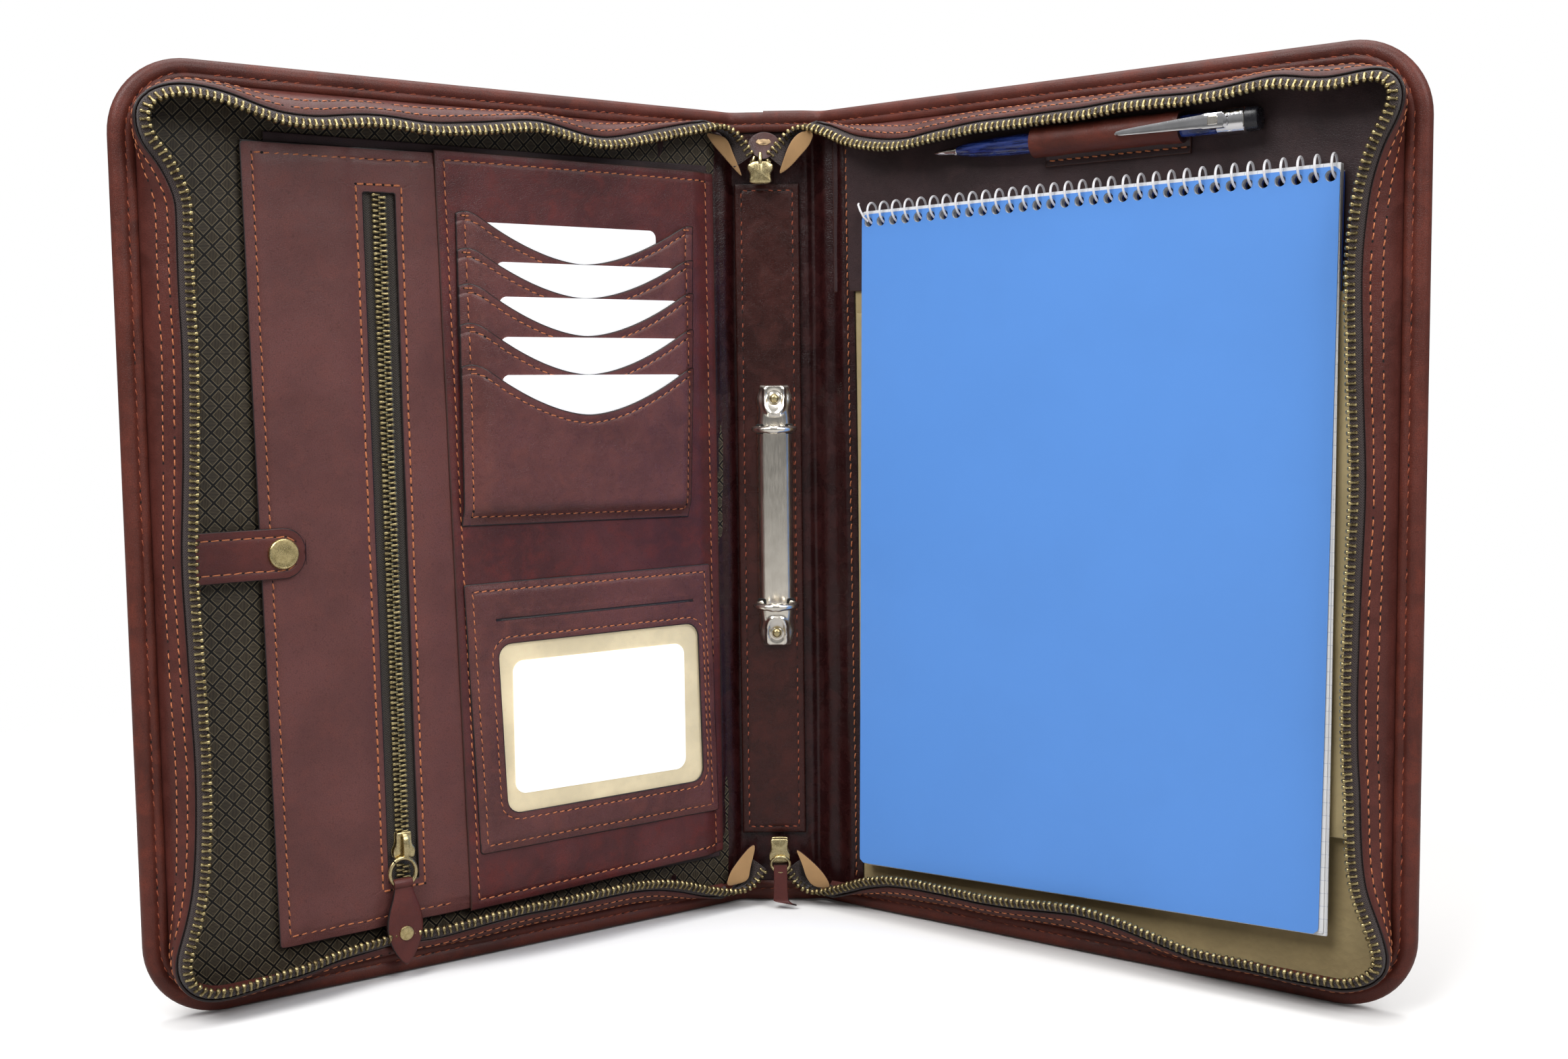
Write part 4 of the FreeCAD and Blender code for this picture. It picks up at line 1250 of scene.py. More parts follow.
# ---------------------------------------------------------------- gussets, zip tape and teeth
# Centre lines of the two zip runs, (x, y, z) in each cover frame, from the top slider round
# to the bottom one.
ZIP_LINES = {"L": [
    (-1.2, 14.3, 342.7), (-0.1, 13.8, 345.7), (2, 12.8, 349.2), (5, 12, 352.7),
    (8.4, 11.7, 354.8), (12.2, 12.1, 355.4), (16.1, 12.7, 355), (21.2, 13, 353.9),
    (50.8, 13.2, 346.6), (64.3, 13.6, 343.5), (71.2, 14.3, 342.5), (79.6, 15, 342.8),
    (87.9, 15.7, 344.3), (96, 16.4, 346), (103.9, 16.8, 347.1), (111.6, 17, 346.5),
    (119.1, 17, 345.5), (126.5, 17, 344.3), (133.9, 17, 343.5), (141.1, 17, 342.7),
    (148.3, 17, 342.1), (155.4, 17, 342.2), (162.3, 17, 342.9), (169.2, 17, 343.4),
    (176, 17, 343.3), (182.8, 17, 342.7), (189.5, 17, 341.6), (194.8, 17, 340.9),
    (200, 17, 340.7), (205.2, 17, 340.9), (210.3, 17, 341.2), (215.4, 17, 342.3),
    (220.4, 17, 343.7), (225.3, 17, 345.4), (230.2, 17, 346.8), (235.1, 17, 347.9),
    (239.9, 17, 348.5), (245.9, 17, 348.9), (250.7, 17, 348.4), (255.5, 17, 346.8),
    (259.1, 17, 344.3), (260.8, 17, 341.6), (261.1, 17, 338.6), (260.4, 17, 334.8),
    (259, 17, 331.3), (257.1, 17, 328.3), (255.6, 17, 327.6), (252.8, 17, 323.6),
    (250.6, 17, 319.5), (249, 17, 316), (247.6, 17, 312.4), (246.9, 17, 308.8),
    (247, 17, 301.5), (247.1, 17, 294.2), (247.1, 17, 286.8), (247.1, 17, 279.5),
    (247, 17, 269.7), (246.7, 17, 261), (246.7, 17, 251.2), (246.9, 17, 242.5),
    (247.2, 17, 232.6), (247.6, 17, 222.7), (247.9, 17, 214), (248.5, 17, 205.2),
    (249.8, 17, 182.8), (250, 17, 174), (249.9, 17, 165.2), (249.6, 17, 156.3),
    (249.3, 17, 147.5), (249, 17, 137.3), (248.7, 17, 127.1), (248.5, 17, 116.8),
    (248.2, 17, 107.9), (248.1, 17, 98.9), (248.2, 17, 88.6), (248.6, 17, 78.4),
    (249.2, 17, 69.4), (249.8, 17, 61.8), (250.7, 17, 54.1), (251.8, 17, 47.9),
    (253.3, 17, 41.7), (255.1, 17, 35.5), (257.2, 17, 30.1), (258.4, 17, 25.8),
    (258.4, 17, 21.9), (256.7, 17, 17.4), (252.5, 17, 13.6), (247.3, 17, 12.1),
    (241.4, 17, 11.9), (232.3, 17, 13.1), (223, 17, 14.3), (211.9, 16.5, 15),
    (199.9, 14.4, 16.8), (189.3, 12.1, 17.3), (178.7, 10.2, 17.6), (171.6, 9.6, 18),
    (163.2, 9.8, 17.5), (155.1, 11.2, 17.2), (145.6, 13.5, 18.7), (132.6, 16.4, 20.7),
    (118.3, 17, 21.6), (103.4, 17, 21.4), (87.8, 16.3, 21.4), (73.8, 15.7, 21.5),
    (63.5, 15, 21.3), (51, 14.3, 19.8), (38.3, 13.7, 16.5), (27.5, 13, 12.4),
    (16.5, 12.3, 8.9), (7.6, 12.1, 7.7), (1.7, 13.1, 10.2), (-1.3, 14.6, 14.8),
    (-2.9, 15.6, 17.9),
], "R": [
    (-11.9, 21.8, 342.6), (-10.5, 20.5, 344.4), (-9, 18.5, 347.4), (-8.1, 16.6, 350.2),
    (-5.6, 14.8, 353.5), (-2.7, 13.6, 355.4), (1.4, 13.1, 355.8), (5, 13, 355),
    (14, 13.2, 351.3), (20.2, 13.6, 348.3), (26.4, 14.3, 345.7), (34.5, 15, 343.9),
    (42.5, 15.7, 342.4), (50.4, 16.4, 341.6), (58, 16.8, 341.6), (65.4, 17, 342.7),
    (72.6, 17, 343.5), (79.6, 17, 344), (88.4, 17, 344.9), (97, 17, 345.1),
    (105.5, 17, 345), (113.8, 17, 345), (122.1, 17, 345.2), (130.2, 17, 345.3),
    (138.2, 17, 345.3), (146.1, 17, 345.9), (153.9, 17, 346.5), (161.6, 17, 346.6),
    (169.2, 17, 346.5), (176.7, 17, 346.1), (184, 17, 345.9), (191.3, 17, 346.4),
    (198.5, 17, 346.9), (205.6, 17, 347.9), (212.5, 17, 348.6), (218.1, 17, 348.7),
    (223.6, 17, 347.5), (230.3, 17, 346.1), (237, 17, 345.5), (240.2, 17, 345.7),
    (247.4, 17, 346.6), (252.2, 17, 347.2), (256.9, 17, 346.9), (259.9, 17, 344.5),
    (261.2, 17, 340.9), (260.6, 17, 336.8), (258.9, 17, 332.9), (256.6, 17, 329),
    (254.3, 17, 325.1), (252.6, 17, 320.5), (250.9, 17, 315.2), (249.2, 17, 308.8),
    (248.1, 17, 301.7), (247.3, 17, 294.5), (246.5, 17, 286.1), (246.3, 17, 276.4),
    (246.5, 17, 264.3), (247, 17, 252.1), (247.2, 17, 239.9), (247.8, 17, 227.6),
    (248.5, 17, 215.3), (248.9, 17, 203), (248.8, 17, 190.7), (248.2, 17, 173.3),
    (247.8, 17, 160.8), (247.4, 17, 148.3), (247.2, 17, 135.7), (247.1, 17, 123.1),
    (247.3, 17, 110.5), (247.7, 17, 97.9), (248.7, 17, 85.3), (249.1, 17, 72.6),
    (249.9, 17, 60), (251.3, 17, 50), (253.9, 17, 42.8), (257.1, 17, 35.7),
    (259.7, 17, 28.5), (260.8, 17, 23.6), (258.9, 17, 19.4), (253.7, 17, 15.8),
    (247.5, 17, 13.8), (241.2, 17, 13), (240.8, 17, 13.7), (233.2, 17, 13.2),
    (222.5, 17, 13.4), (209.9, 17, 14.1), (197, 17, 14), (187.2, 17, 14.5),
    (177.1, 17, 16.6), (166.9, 17, 18.8), (156.5, 17, 21), (146, 17, 22.5),
    (135.2, 17, 23.1), (120.6, 17, 21.9), (105.5, 17, 20.5), (90.1, 17, 20.1),
    (77.9, 16.3, 20.3), (65.4, 15.7, 20.4), (54.8, 15, 20.2), (41.8, 14.3, 19.2),
    (28.5, 13.7, 15.6), (17.1, 13, 10.7), (8.1, 12.8, 7.3), (1.7, 13.2, 6.3),
    (-3.7, 15.2, 8.8), (-6.4, 17.6, 13.6), (-8.2, 19.2, 17.4),
]}
ZIP_STEP = 0.8
TOOTH_PITCH = 2.57
GUSSET_POINTS = 11      # across the gusset
GUSSET_THICK = 1.3


def zip_run(side):
    """Lines that gusset, tape and teeth of one cover share, all with the same stations."""
    path = smooth(resample(ZIP_LINES[side], 0.5), sigma=3.2, step=0.5)
    length = arc(path)[-1]
    path = resample(path, ZIP_STEP)
    count, half = len(path), len(path) // 2
    along = tangents(path)
    outward = xyz(along[:, 2], 0, -along[:, 0])
    outward /= np.linalg.norm(outward, axis=1, keepdims=True)
    if np.dot(outward[half], path[half] - np.array([120.0, 0, 182.0])) < 0:
        outward = -outward
    distance = np.arange(count) * ZIP_STEP
    # the binding's inner edge, matched to the zip by nearest point, then eased
    edge, edge_out, _ = edge_stations(-HINGE_X + 4, 0.8, corner=60)
    inner = edge - 9.2 * edge_out
    near = np.array([np.argmin((inner[:, 0] - x) ** 2 + (inner[:, 1] - z) ** 2)
                     for x, _, z in path])
    matched = np.maximum.accumulate(arc(inner)[near])
    reach = 25
    weights = np.hanning(2 * reach + 1)
    weights /= weights.sum()
    matched = np.convolve(np.concatenate([np.full(reach, matched[0]), matched,
                                          np.full(reach, matched[-1])]), weights, "valid")
    inner = look_up(matched, arc(inner), inner)
    bound = xyz(inner[:, 0], 2.6, inner[:, 1])
    to_bound = bound - path
    to_bound[:, 1] = 0
    to_bound /= np.maximum(np.linalg.norm(to_bound, axis=1, keepdims=True), 1e-6)
    outward = 0.75 * outward + 0.25 * to_bound
    outward /= np.linalg.norm(outward, axis=1, keepdims=True)
    # the highest point near the top slider and the lowest near the bottom one
    first = int(np.argmax(path[:half // 3, 2]))
    far_from_end = np.arange(half, count) < count - 60
    last = half + int(np.argmin(path[half:, 2] + far_from_end * 100))
    # towards each slider the strip turns over, so that the tape hangs inwards
    turn = np.clip(np.minimum(distance - distance[first] + 5.0,
                              distance[last] + 5.0 - distance) / 14.0, -1, 1)
    turn = np.where(turn > 0, ease(turn), -ease(-turn))[:, None]
    drop = np.minimum(2.2, np.maximum(path[:, 1] - 4.6, 0.3))[:, None]
    fall = np.sqrt(np.maximum(drop ** 2 * turn ** 2 + (1 - turn ** 2) * 3.6 ** 2, 0.05))
    return SimpleNamespace(
        path=path, length=length, along=along, distance=distance, bound=bound, outward=outward,
        free=path + 3.9 * turn * outward - fall * INTO,
        # the gusset leather starts and stops short of the spine
        start=min(first + 3, half), stop=max(last - 3, half))


def gusset(side, run):
    """Bulging leather between the binding and the zip, with two rows of stitches."""
    piece = sewn_piece("gusset_" + side, GUSSET)
    part = slice(run.start, run.stop + 1)
    free, bound, distance = run.free[part], run.bound[part], run.distance[part]
    count = len(free)
    share = np.linspace(0, 1, GUSSET_POINTS)[:, None]
    bulge = np.sin(np.pi * share) ** 0.9
    station = np.arange(count)
    ends = ease(np.minimum(station, station[::-1]) / 14.0)[:, None, None]
    wave = (0.5 * np.sin(distance * 0.055) + 0.4 * np.sin(distance * 0.13 + 1.0))[:, None]
    lift = 0.55 * run.outward[part] + 0.83 * INTO
    skin = (bound[:, None] + (free - bound)[:, None] * share
            + bulge * ((2.1 + 0.5 * wave) * lift)[:, None] * ends)
    normals = np.cross(np.gradient(skin, axis=0), np.gradient(skin, axis=1))
    normals /= np.maximum(np.linalg.norm(normals, axis=2, keepdims=True), 1e-9)
    normals *= np.sign((normals * lift[:, None]).sum(2).mean())
    sections = []
    for line, normal in zip(skin, normals):
        end = normal[-1]
        nose = line[-1] + unit(line[-1] - line[-2]) * 0.30
        rim = [line[-1] - end * 0.10, nose - end * 0.40, nose - end * (GUSSET_THICK - 0.4),
               line[-1] - end * (GUSSET_THICK - 0.05)]
        sections.append(np.concatenate([line[:-1], rim, (line - normal * GUSSET_THICK)[-2::-1]]))
    size = len(sections[0])
    column = np.tile(np.arange(size), count - 1)
    on_rim = (column >= GUSSET_POINTS - 1) & (column <= GUSSET_POINTS + 1)
    wear = np.zeros((count, size))
    wear[:, GUSSET_POINTS - 2:GUSSET_POINTS + 2] = 0.6
    # darkest where the gusset goes in under the binding: painted shade between the parts
    wear[:, 0] = 1.0
    wear[:, 1] = 0.45
    piece.add(side, *loft(sections), [np.where(on_rim, 1, 0), 0],
              strip_uv(arc(sections[count // 2]), distance),
              np.concatenate([wear.ravel(), [0, 0]]))
    from_free = np.array([arc(line[::-1]) for line in skin])
    for inset in (2.7, 7.2):
        fits = [i for i in range(3, count - 3) if inset <= from_free[i, -1] - 2.2]
        for group in np.split(fits, np.flatnonzero(np.diff(fits) > 1) + 1):
            if len(group) > 12:
                line, normal = (
                    np.array([look_up(inset, from_free[i], rows[i, ::-1]) for i in group])
                    for rows in (skin, normals))
                sew(piece, side, line, normal, pitch=3.7, fill=0.66, radius=0.27, slant=0.1,
                    hole=0.42, skip=0.03)
    piece.build(ZIP_BEND[side], "leather", SIDE_NAMES[side] + "_gusset", angle=50)
    return skin, normals


def zip_tape(side, run, skin, skin_normals):
    """Tape from the teeth to the gusset and on down its inner face."""
    piece = Piece("zip_tape_" + side, TAPE)
    half_thick = 0.38 * np.array([1.5, 1.25, 1, 1, 1, 1])[:, None]    # thicker under the teeth
    deep = int(GUSSET_POINTS * 0.45)
    sections = []
    normal = INTO
    for i, (centre, free) in enumerate(zip(run.path, run.free)):
        to_teeth = unit(centre - free)
        previous = normal
        normal = unit(np.cross(run.along[i], to_teeth))
        if np.dot(normal, previous) < 0:
            normal = -normal
        if run.start <= i <= run.stop:
            line, normals = skin[i - run.start], skin_normals[i - run.start]
            back = [line[column] - normals[column] * (GUSSET_THICK + gap)
                    for column, gap in ((-1, 0.25), (-3, 0.3), (deep, 0.4))]
        else:
            back = [free - normal * 0.1, free - to_teeth * 2.2,
                    free - to_teeth * 4.0 - INTO * 0.5]
        line = np.array([centre + to_teeth * 0.9, centre,
                         centre - to_teeth * 2.0 - normal * 0.15] + back)
        sections.append(np.concatenate([line + normal * half_thick,
                                        (line - normal * half_thick)[::-1]]))
    across = [0, 1, 3, 6, 9, 14]
    piece.add(side, *loft(sections), 0,
              strip_uv(np.array(across + across[::-1], float), run.distance))
    nodes = ["zip_ends"] if side == "L" else []
    piece.build(ZIP_BEND[side], "zip_tape", SIDE_NAMES[side] + "_zip_tape", *nodes, angle=60)


# Sections of a tooth, (distance across the tape, half width, half height).
TOOTH_SECTIONS = [(-1.95, 0.50, 0.85), (-1.7, 0.68, 1.15), (-0.9, 0.60, 1.22), (0.0, 0.52, 1.18),
                  (0.6, 0.62, 1.20), (1.15, 0.82, 1.22), (1.6, 0.80, 1.10), (1.95, 0.52, 0.70)]


def superellipse(wave, power):
    return np.sign(wave) * np.abs(wave) ** power


def zip_teeth(side, run):
    """Teeth: a clamp on the tape's edge and a round head."""
    count = int(run.length / TOOTH_PITCH)
    where = (np.arange(count) + 0.5) / count * (len(run.path) - 1)
    stations = np.arange(len(run.path))
    centres, along, free = (look_up(where, stations, rows)
                            for rows in (run.path, run.along, run.free))
    along /= np.linalg.norm(along, axis=1, keepdims=True)
    across = centres - free
    across -= along * (across * along).sum(1, keepdims=True)
    across /= np.linalg.norm(across, axis=1, keepdims=True)
    normals = np.cross(along, across)
    for i in range(1, count):
        if np.dot(normals[i], normals[i - 1]) < 0:
            normals[i] = -normals[i]
    centres = centres + across * 0.3 + RNG.normal(0, 0.05, (count, 3))
    tilt = RNG.normal(0, 0.06, count)[:, None]
    angle = full_turn(8) + np.pi / 8
    wide, high = superellipse(np.cos(angle), 0.7), superellipse(np.sin(angle), 0.7)
    tooth = loft([xyz(width * wide, x, height * high + 0.15)
                  for x, width, height in TOOTH_SECTIONS])
    piece = Piece("zip_teeth_" + side, BRASS_TEETH)
    piece.add(side, *copies(tooth, centres, along * np.cos(tilt) - across * np.sin(tilt),
                            across * np.cos(tilt) + along * np.sin(tilt), normals))
    piece.build(ZIP_BEND[side], "antique_brass", SIDE_NAMES[side] + "_zip_teeth", angle=55)


def zipper(side):
    run = zip_run(side)
    zip_tape(side, run, *gusset(side, run))
    zip_teeth(side, run)


# Turned-in gusset ends: name, side, height at the low and high end, outline (x, z).
FLAPS = [
    ("flap_top_left", "L", 8.0, 10.5, [
        (-30.9, 353.6), (-26.4, 352.7), (-22.2, 352.0), (-20.4, 350.2), (-19.2, 346.6),
        (-17.8, 343.0), (-16.0, 338.8), (-14.0, 333.1), (-16.3, 335.2), (-20.5, 340.1),
        (-24.7, 344.9), (-28.3, 349.1)]),
    ("flap_top_right", "R", 8.0, 10.5, [
        (18.1, 353.2), (17.1, 349.1), (14.7, 345.5), (11.6, 342.6), (8.2, 338.8), (4.9, 336.1),
        (1.5, 334.1), (2.8, 337.9), (5.0, 343.9), (6.8, 348.0), (9.3, 351.6), (13.0, 353.9)]),
    ("flap_bottom_left", "L", 10.5, 8.0, [
        (-26.6, 9.6), (-24.7, 16.2), (-19.9, 22.6), (-15.1, 27.9), (-12.3, 29.5), (-13.1, 24.7),
        (-14.7, 19.4), (-15.9, 11.9), (-22.2, 10.1)]),
    ("flap_bottom_right", "R", 10.5, 8.0, [
        (5.7, 26.9), (9.3, 24.5), (16.6, 18.1), (20.2, 13.8), (22.5, 8.7), (18.6, 8.5),
        (14.1, 8.8), (10.8, 12.8), (9.0, 19.2), (7.2, 23.5)]),
]


def flap(name, side, low_height, high_height, points):
    """Curled leaf of leather beside a slider, flesh side out."""
    piece = Piece(name, FLESH, RAW)
    outline = soften(resample(points, 2.0, closed=True))

    def bend(x, z):
        share = np.clip((z - outline[:, 1].min()) / np.ptp(outline[:, 1]), 0, 1)
        return ((high_height - low_height) * share + 0.9 * np.sin(share * np.pi)
                + 0.10 * np.abs(x - outline[:, 0].mean()) ** 1.2)

    plate(piece, "S", outline, low_height, low_height + 1.3, bevel=0.4, edge_mat=1, rings=6,
          bend=bend)
    nodes = ["end_flaps"] if name == "flap_top_left" else []
    piece.build(ZIP_BEND[side], "leather_flesh", *nodes)


# ---------------------------------------------------------------- case sliders and their pulls
TOP_TAB_X = box_mm("top_tab").mean(0)[0]
BOTTOM_TAB_X = box_mm("bottom_tab").mean(0)[0]

# Slider outline, (x as a share of the width, z as a share of the height).
SHIELD = np.array([
    (-0.5, 0.86), (-0.30, 1.0), (0.0, 1.04), (0.30, 1.0), (0.5, 0.86), (0.50, 0.64),
    (0.40, 0.46), (0.41, 0.26), (0.44, 0.06), (0.36, 0.0), (0.0, -0.01), (-0.36, 0.0),
    (-0.44, 0.06), (-0.41, 0.26), (-0.40, 0.46), (-0.50, 0.64)])


def shield(x, z, width, height, up=1):
    outline = np.stack([x + SHIELD[:, 0] * width, z + up * (SHIELD[:, 1] - 0.5) * height], 1)
    return soften(resample(outline, 0.45, closed=True))


def case_sliders():
    piece = Piece("case_sliders", BRASS_HARDWARE, SHADE_BLACK)
    x = TOP_TAB_X - 1.3
    plate(piece, "S", shield(x, 335.5, 11.6, 9.4), 11.6, 13.2, bevel=0.6, dome=0.35,
          bend=lambda px, z: 0.35 * bell(px, x, 0.5) - 0.02 * (px - x) ** 2)
    plate(piece, "S", shield(x, 335.8, 10.6, 9.6), 7.4, 8.8, bevel=0.5)
    lathe(piece, "S", (x, 8.6, 338.4), "y", [(1.9, 0), (1.6, 0.6), (1.5, 2.7), (1.9, 3.2)], 16)
    for arm in (-3.4, 3.4):
        tube(piece, "S", [(x + arm, 9.2, 338.0), (x + arm * 0.95, 9.6, 340.4),
                          (x + arm * 0.8, 9.9, 342.4), (x + arm * 0.5, 9.6, 343.4)],
             [1.0, 0.95, 0.8, 0.5], segments=8)
    # bridge over the slider and the bar behind it
    tube(piece, "S", [(x, 12.6, 338.6), (x, 13.0, 340.6), (x, 12.4, 342.6), (x, 11.0, 343.8),
                      (x, 9.2, 343.6), (x, 8.0, 342.2)], 0.95)
    tube(piece, "S", [(x - 4.4, 9.0, 340.2), (x - 2.4, 9.2, 343.0), (x, 9.3, 344.0),
                      (x + 2.4, 9.2, 343.0), (x + 4.4, 9.0, 340.2)], 0.8, segments=8)
    x = BOTTOM_TAB_X + 0.6
    plate(piece, "S", shield(x, 26.6, 9.6, 11.2, up=-1)[::-1], 12.2, 14.0, bevel=0.6, dome=0.7)
    plate(piece, "S", shield(x, 26.6, 9.2, 10.6, up=-1)[::-1], 7.6, 9.2, bevel=0.5)
    lathe(piece, "S", (x, 9.0, 22.6), "y", [(1.7, 0), (1.5, 0.6), (1.45, 3.0), (1.7, 3.6)], 16)
    piece.build("spine", "antique_brass", "case_sliders")


PULL_X = TOP_TAB_X + 0.3
PULL_FACE = 11.2


def pull_lean(x, z):
    """The top pull leans back as it rises."""
    return -(z - 343.5) * 0.72 + 0.022 * (z - 343.5) ** 2


def top_pull():
    piece = sewn_piece("top_pull_tab", DARK)
    angle = full_turn(55)
    upper = np.cos(angle) > 0
    width = 7.4 * np.where(upper, 1.0, 1 - 0.42 * np.cos(angle) ** 2)
    outline = np.stack([PULL_X + width * np.sin(angle),
                        348.0 + np.where(upper, 6.3, 6.8) * np.cos(angle)], 1)[::-1]
    plate(piece, "S", outline, 9.2, PULL_FACE, bevel=0.55, dome=0.2, edge_mat=1, rings=7,
          bend=pull_lean)
    piece.build("top_pull", "leather", "top_tab")


def top_pull_rivet():
    """Rivet head tilted with the leaning tab."""
    piece = Piece("top_pull_rivet", BRONZE_RIVET)
    z = 349.6
    profile = [(3.4, -0.5), (3.4, 0.1), (3.1, 0.3), (2.5, 0.26), (2.2, 0.4), (1.2, 0.5),
               (0.4, 0.54)]     # (radius, height)
    angle = full_turn(32)
    sections = []
    for radius, height in profile:
        rise = 0.62 * radius * np.sin(angle)
        sections.append(xyz(PULL_X - 0.2 + radius * np.cos(angle),
                            PULL_FACE + pull_lean(0, z) + height * 0.86 - rise * 0.50,
                            z + rise * 0.86 + height * 0.50))
    piece.add("S", *loft(sections))
    piece.build("top_pull", "antique_brass", "top_tab_rivet")


def bottom_pull():
    """Leather strip hanging from the bottom slider, curled sideways where it meets the floor."""
    piece = sewn_piece("bottom_pull_leather", TAB)
    hang = 0.62         # share of the strip that hangs straight
    sections = []
    for share in np.linspace(0, 1, 30):
        curl = max((share - hang) / (1 - hang), 0.0)
        if share < hang:
            y, z = 14.6 + 0.8 * share, 20.5 - share / hang * 16.5
        else:
            y, z = 15.1 + curl, 4.0 - math.sin(curl * np.pi / 2) * 1.6
        section = bar(3.1 + 0.5 * ease((share - 0.3) * 2), 1.1, 0.5, side=3)
        tilt = curl * 0.9
        sections.append(xyz(
            BOTTOM_TAB_X + 1.0 + curl ** 1.5 * 5.0 + section[:, 0] * math.cos(tilt),
            y + section[:, 1], z - section[:, 0] * math.sin(tilt) * 0.25))
    points, faces = loft(sections)
    points[:, 2] = np.maximum(points[:, 2], 0.6)
    piece.add("S", points, faces, [0, 1], points[:, [0, 2]])
    piece.build("bottom_pull", "leather", "bottom_tab")


def bottom_pull_ring():
    piece = Piece("bottom_pull_ring", BRASS_HARDWARE)
    angle = full_turn(32)
    tube(piece, "S", xyz(BOTTOM_TAB_X + 1.0 + 4.2 * np.sin(angle), 14.6 + 0.6 * np.cos(angle * 2),
                         20.6 + 3.6 * np.cos(angle)), 0.7, closed=True)
    piece.build("bottom_pull", "antique_brass", "bottom_tab_ring")


# ---------------------------------------------------------------- left cover: organizer page
def skew(x0, x1, z0, z1, low_left, low_right, high_left, high_right):
    """Hand-cut leather is not quite square: moves a rectangle's corners to the given ones."""
    corners = [np.array(c, float) for c in (low_left, low_right, high_left, high_right)]

    def warp(x, z):
        x, z = np.broadcast_arrays(x, z)
        across, rise = ((x - x0) / (x1 - x0))[..., None], ((z - z0) / (z1 - z0))[..., None]
        low = (1 - across) * corners[0] + across * corners[1]
        high = (1 - across) * corners[2] + across * corners[3]
        points = (1 - rise) * low + rise * high
        return points[..., 0], points[..., 1]
    return warp


ZIP_PANEL = (126, 224, 22, 335.5)       # (x0, x1, z0, z1), like the other rectangles
BACK_PANEL = (14.5, 224, 22, 336.5)
CARD_BOX = (14, 148, 22.6, 335.2)
POCKET_X0, POCKET_X1, POCKET_LOW = 28, 139.5, 183.0
WINDOW_POCKET = (19.5, 139.0, 44.0, 161.0, 1.5)     # last value: corner radius
WINDOW = (28.0, 125.5, 60.0, 134.0, 6.0)

warp_zip = skew(*ZIP_PANEL, (124.5, 22.5), (219.2, 20.6), (124.5, 335.8), (223.6, 334.8))
warp_back = skew(*BACK_PANEL, (13.5, 23.5), (218.6, 21.4), (13.5, 336.0), (223.0, 335.4))
warp_card = skew(*CARD_BOX, (11.5, 26.0), (138.8, 21.4), (11.8, 335.6), (146.2, 336.6))
warp_pocket = skew(POCKET_X0, POCKET_X1, POCKET_LOW, 312,
                   (30.0, 182.2), (138.9, 183.6), (25.2, 311.2), (138.0, 312.6))
warp_window = skew(19.5, 139, 44, 161, (16.2, 46.5), (134.2, 45.0), (19.0, 160.4), (138.8, 159.4))


def left_flat_pocket():
    piece = sewn_piece("left_flat_pocket", DUSKY)
    grid = groove_grid(3.6)
    sheet(piece, "L", spread(15, 214, 8, grid), 26, 339, 2.85, 2.3, grid=grid)
    piece.build("left_cover", "leather", "left_pocket")


def organizer_back():
    piece = Piece("organizer_back", DUSKY, EDGE)
    x0, x1, z0, z1 = BACK_PANEL
    sheet(piece, "L", spread(x0, x1, 8), z0, z1, 3.5, 3.0, edge_mat=1, warp=warp_back)
    piece.build("organizer", "leather", "organizer_back")


ZIP_X, ZIP_LOW, ZIP_HIGH = 170.5, 40.0, 318.0   # opening of the zip pocket
ZIP_HALF = 6.4


def zip_panel_top(x, z, edge):
    outer = np.minimum(np.minimum(x - 124, 224 - x), np.minimum(z - 22, 335.5 - z))
    inner = np.abs(x - ZIP_X) - ZIP_HALF
    height = 4.75 + 0.75 * ease(outer / 7) - 0.26 * bell(outer, 4.4, 0.5)
    height = height - 0.22 * bell(inner, 2.9, 0.5) * (z > ZIP_LOW - 3) * (z < ZIP_HIGH + 3)
    height = (height + 0.55 * bell(inner, 9.5, 7.0) * ease((inner - 3) / 5)
              + 0.28 * hills(x, z, 1.2, 4.0) * ease(outer / 14))
    return height + 0.45 * bell(x, 216.5, 2.2)


def zip_panel():
    piece = sewn_piece("zip_panel", PANEL)
    window = (ZIP_X - ZIP_HALF, ZIP_X + ZIP_HALF, ZIP_LOW, ZIP_HIGH, 0.6)
    window_sheet(piece, "L", (*ZIP_PANEL, 1.6), window, zip_panel_top, as_function(4.35),
                 groove_grid(4.4), groove_grid(2.6, 0.5), radius=0.42, rim=0.38, warp=warp_zip,
                 middle=9, side_points=70)
    x0, x1, z0, z1 = 149, 219.6, 26.4, 331.1
    for corners in ([(x1, z0), (x1, z1), (x0, z1)], [(x0, z0), (x1, z0)]):
        stitch_sides(piece, "L", corners, zip_panel_top, warp=warp_zip, **PANEL_STITCH)
    x0, x1 = ZIP_X - 9.3, ZIP_X + 9.3
    z0, z1 = ZIP_LOW - 2.9, ZIP_HIGH + 3.2
    for line in (((x0, z0), (x0, z1)), ((x1, z1), (x1, z0)), ((x0, z1), (x1, z1)),
                 ((x1, z0), (x0, z0))):
        stitch(piece, "L", line, zip_panel_top, warp=warp_zip, pitch=3.75, fill=0.80,
               radius=0.42, slant=0.05, hole=0.5, sink=0.02)
    piece.build("organizer", "leather", "zip_panel")


def pocket_zip_tape():
    piece = Piece("pocket_zip_tape", POCKET_TAPE)

    def top(x, z, edge):
        return (3.95 + 0.40 * bell(x, ZIP_X, 2.0)
                - 0.2 * bell(np.abs(x - ZIP_X), 3.6, 0.8))

    sheet(piece, "L", np.linspace(ZIP_X - 10, ZIP_X + 10, 60), ZIP_LOW - 4, ZIP_HIGH + 4, top,
          3.55, step=3, warp=warp_zip, radius=0.1)
    piece.build("organizer", "zip_tape", "pocket_zip_tape")


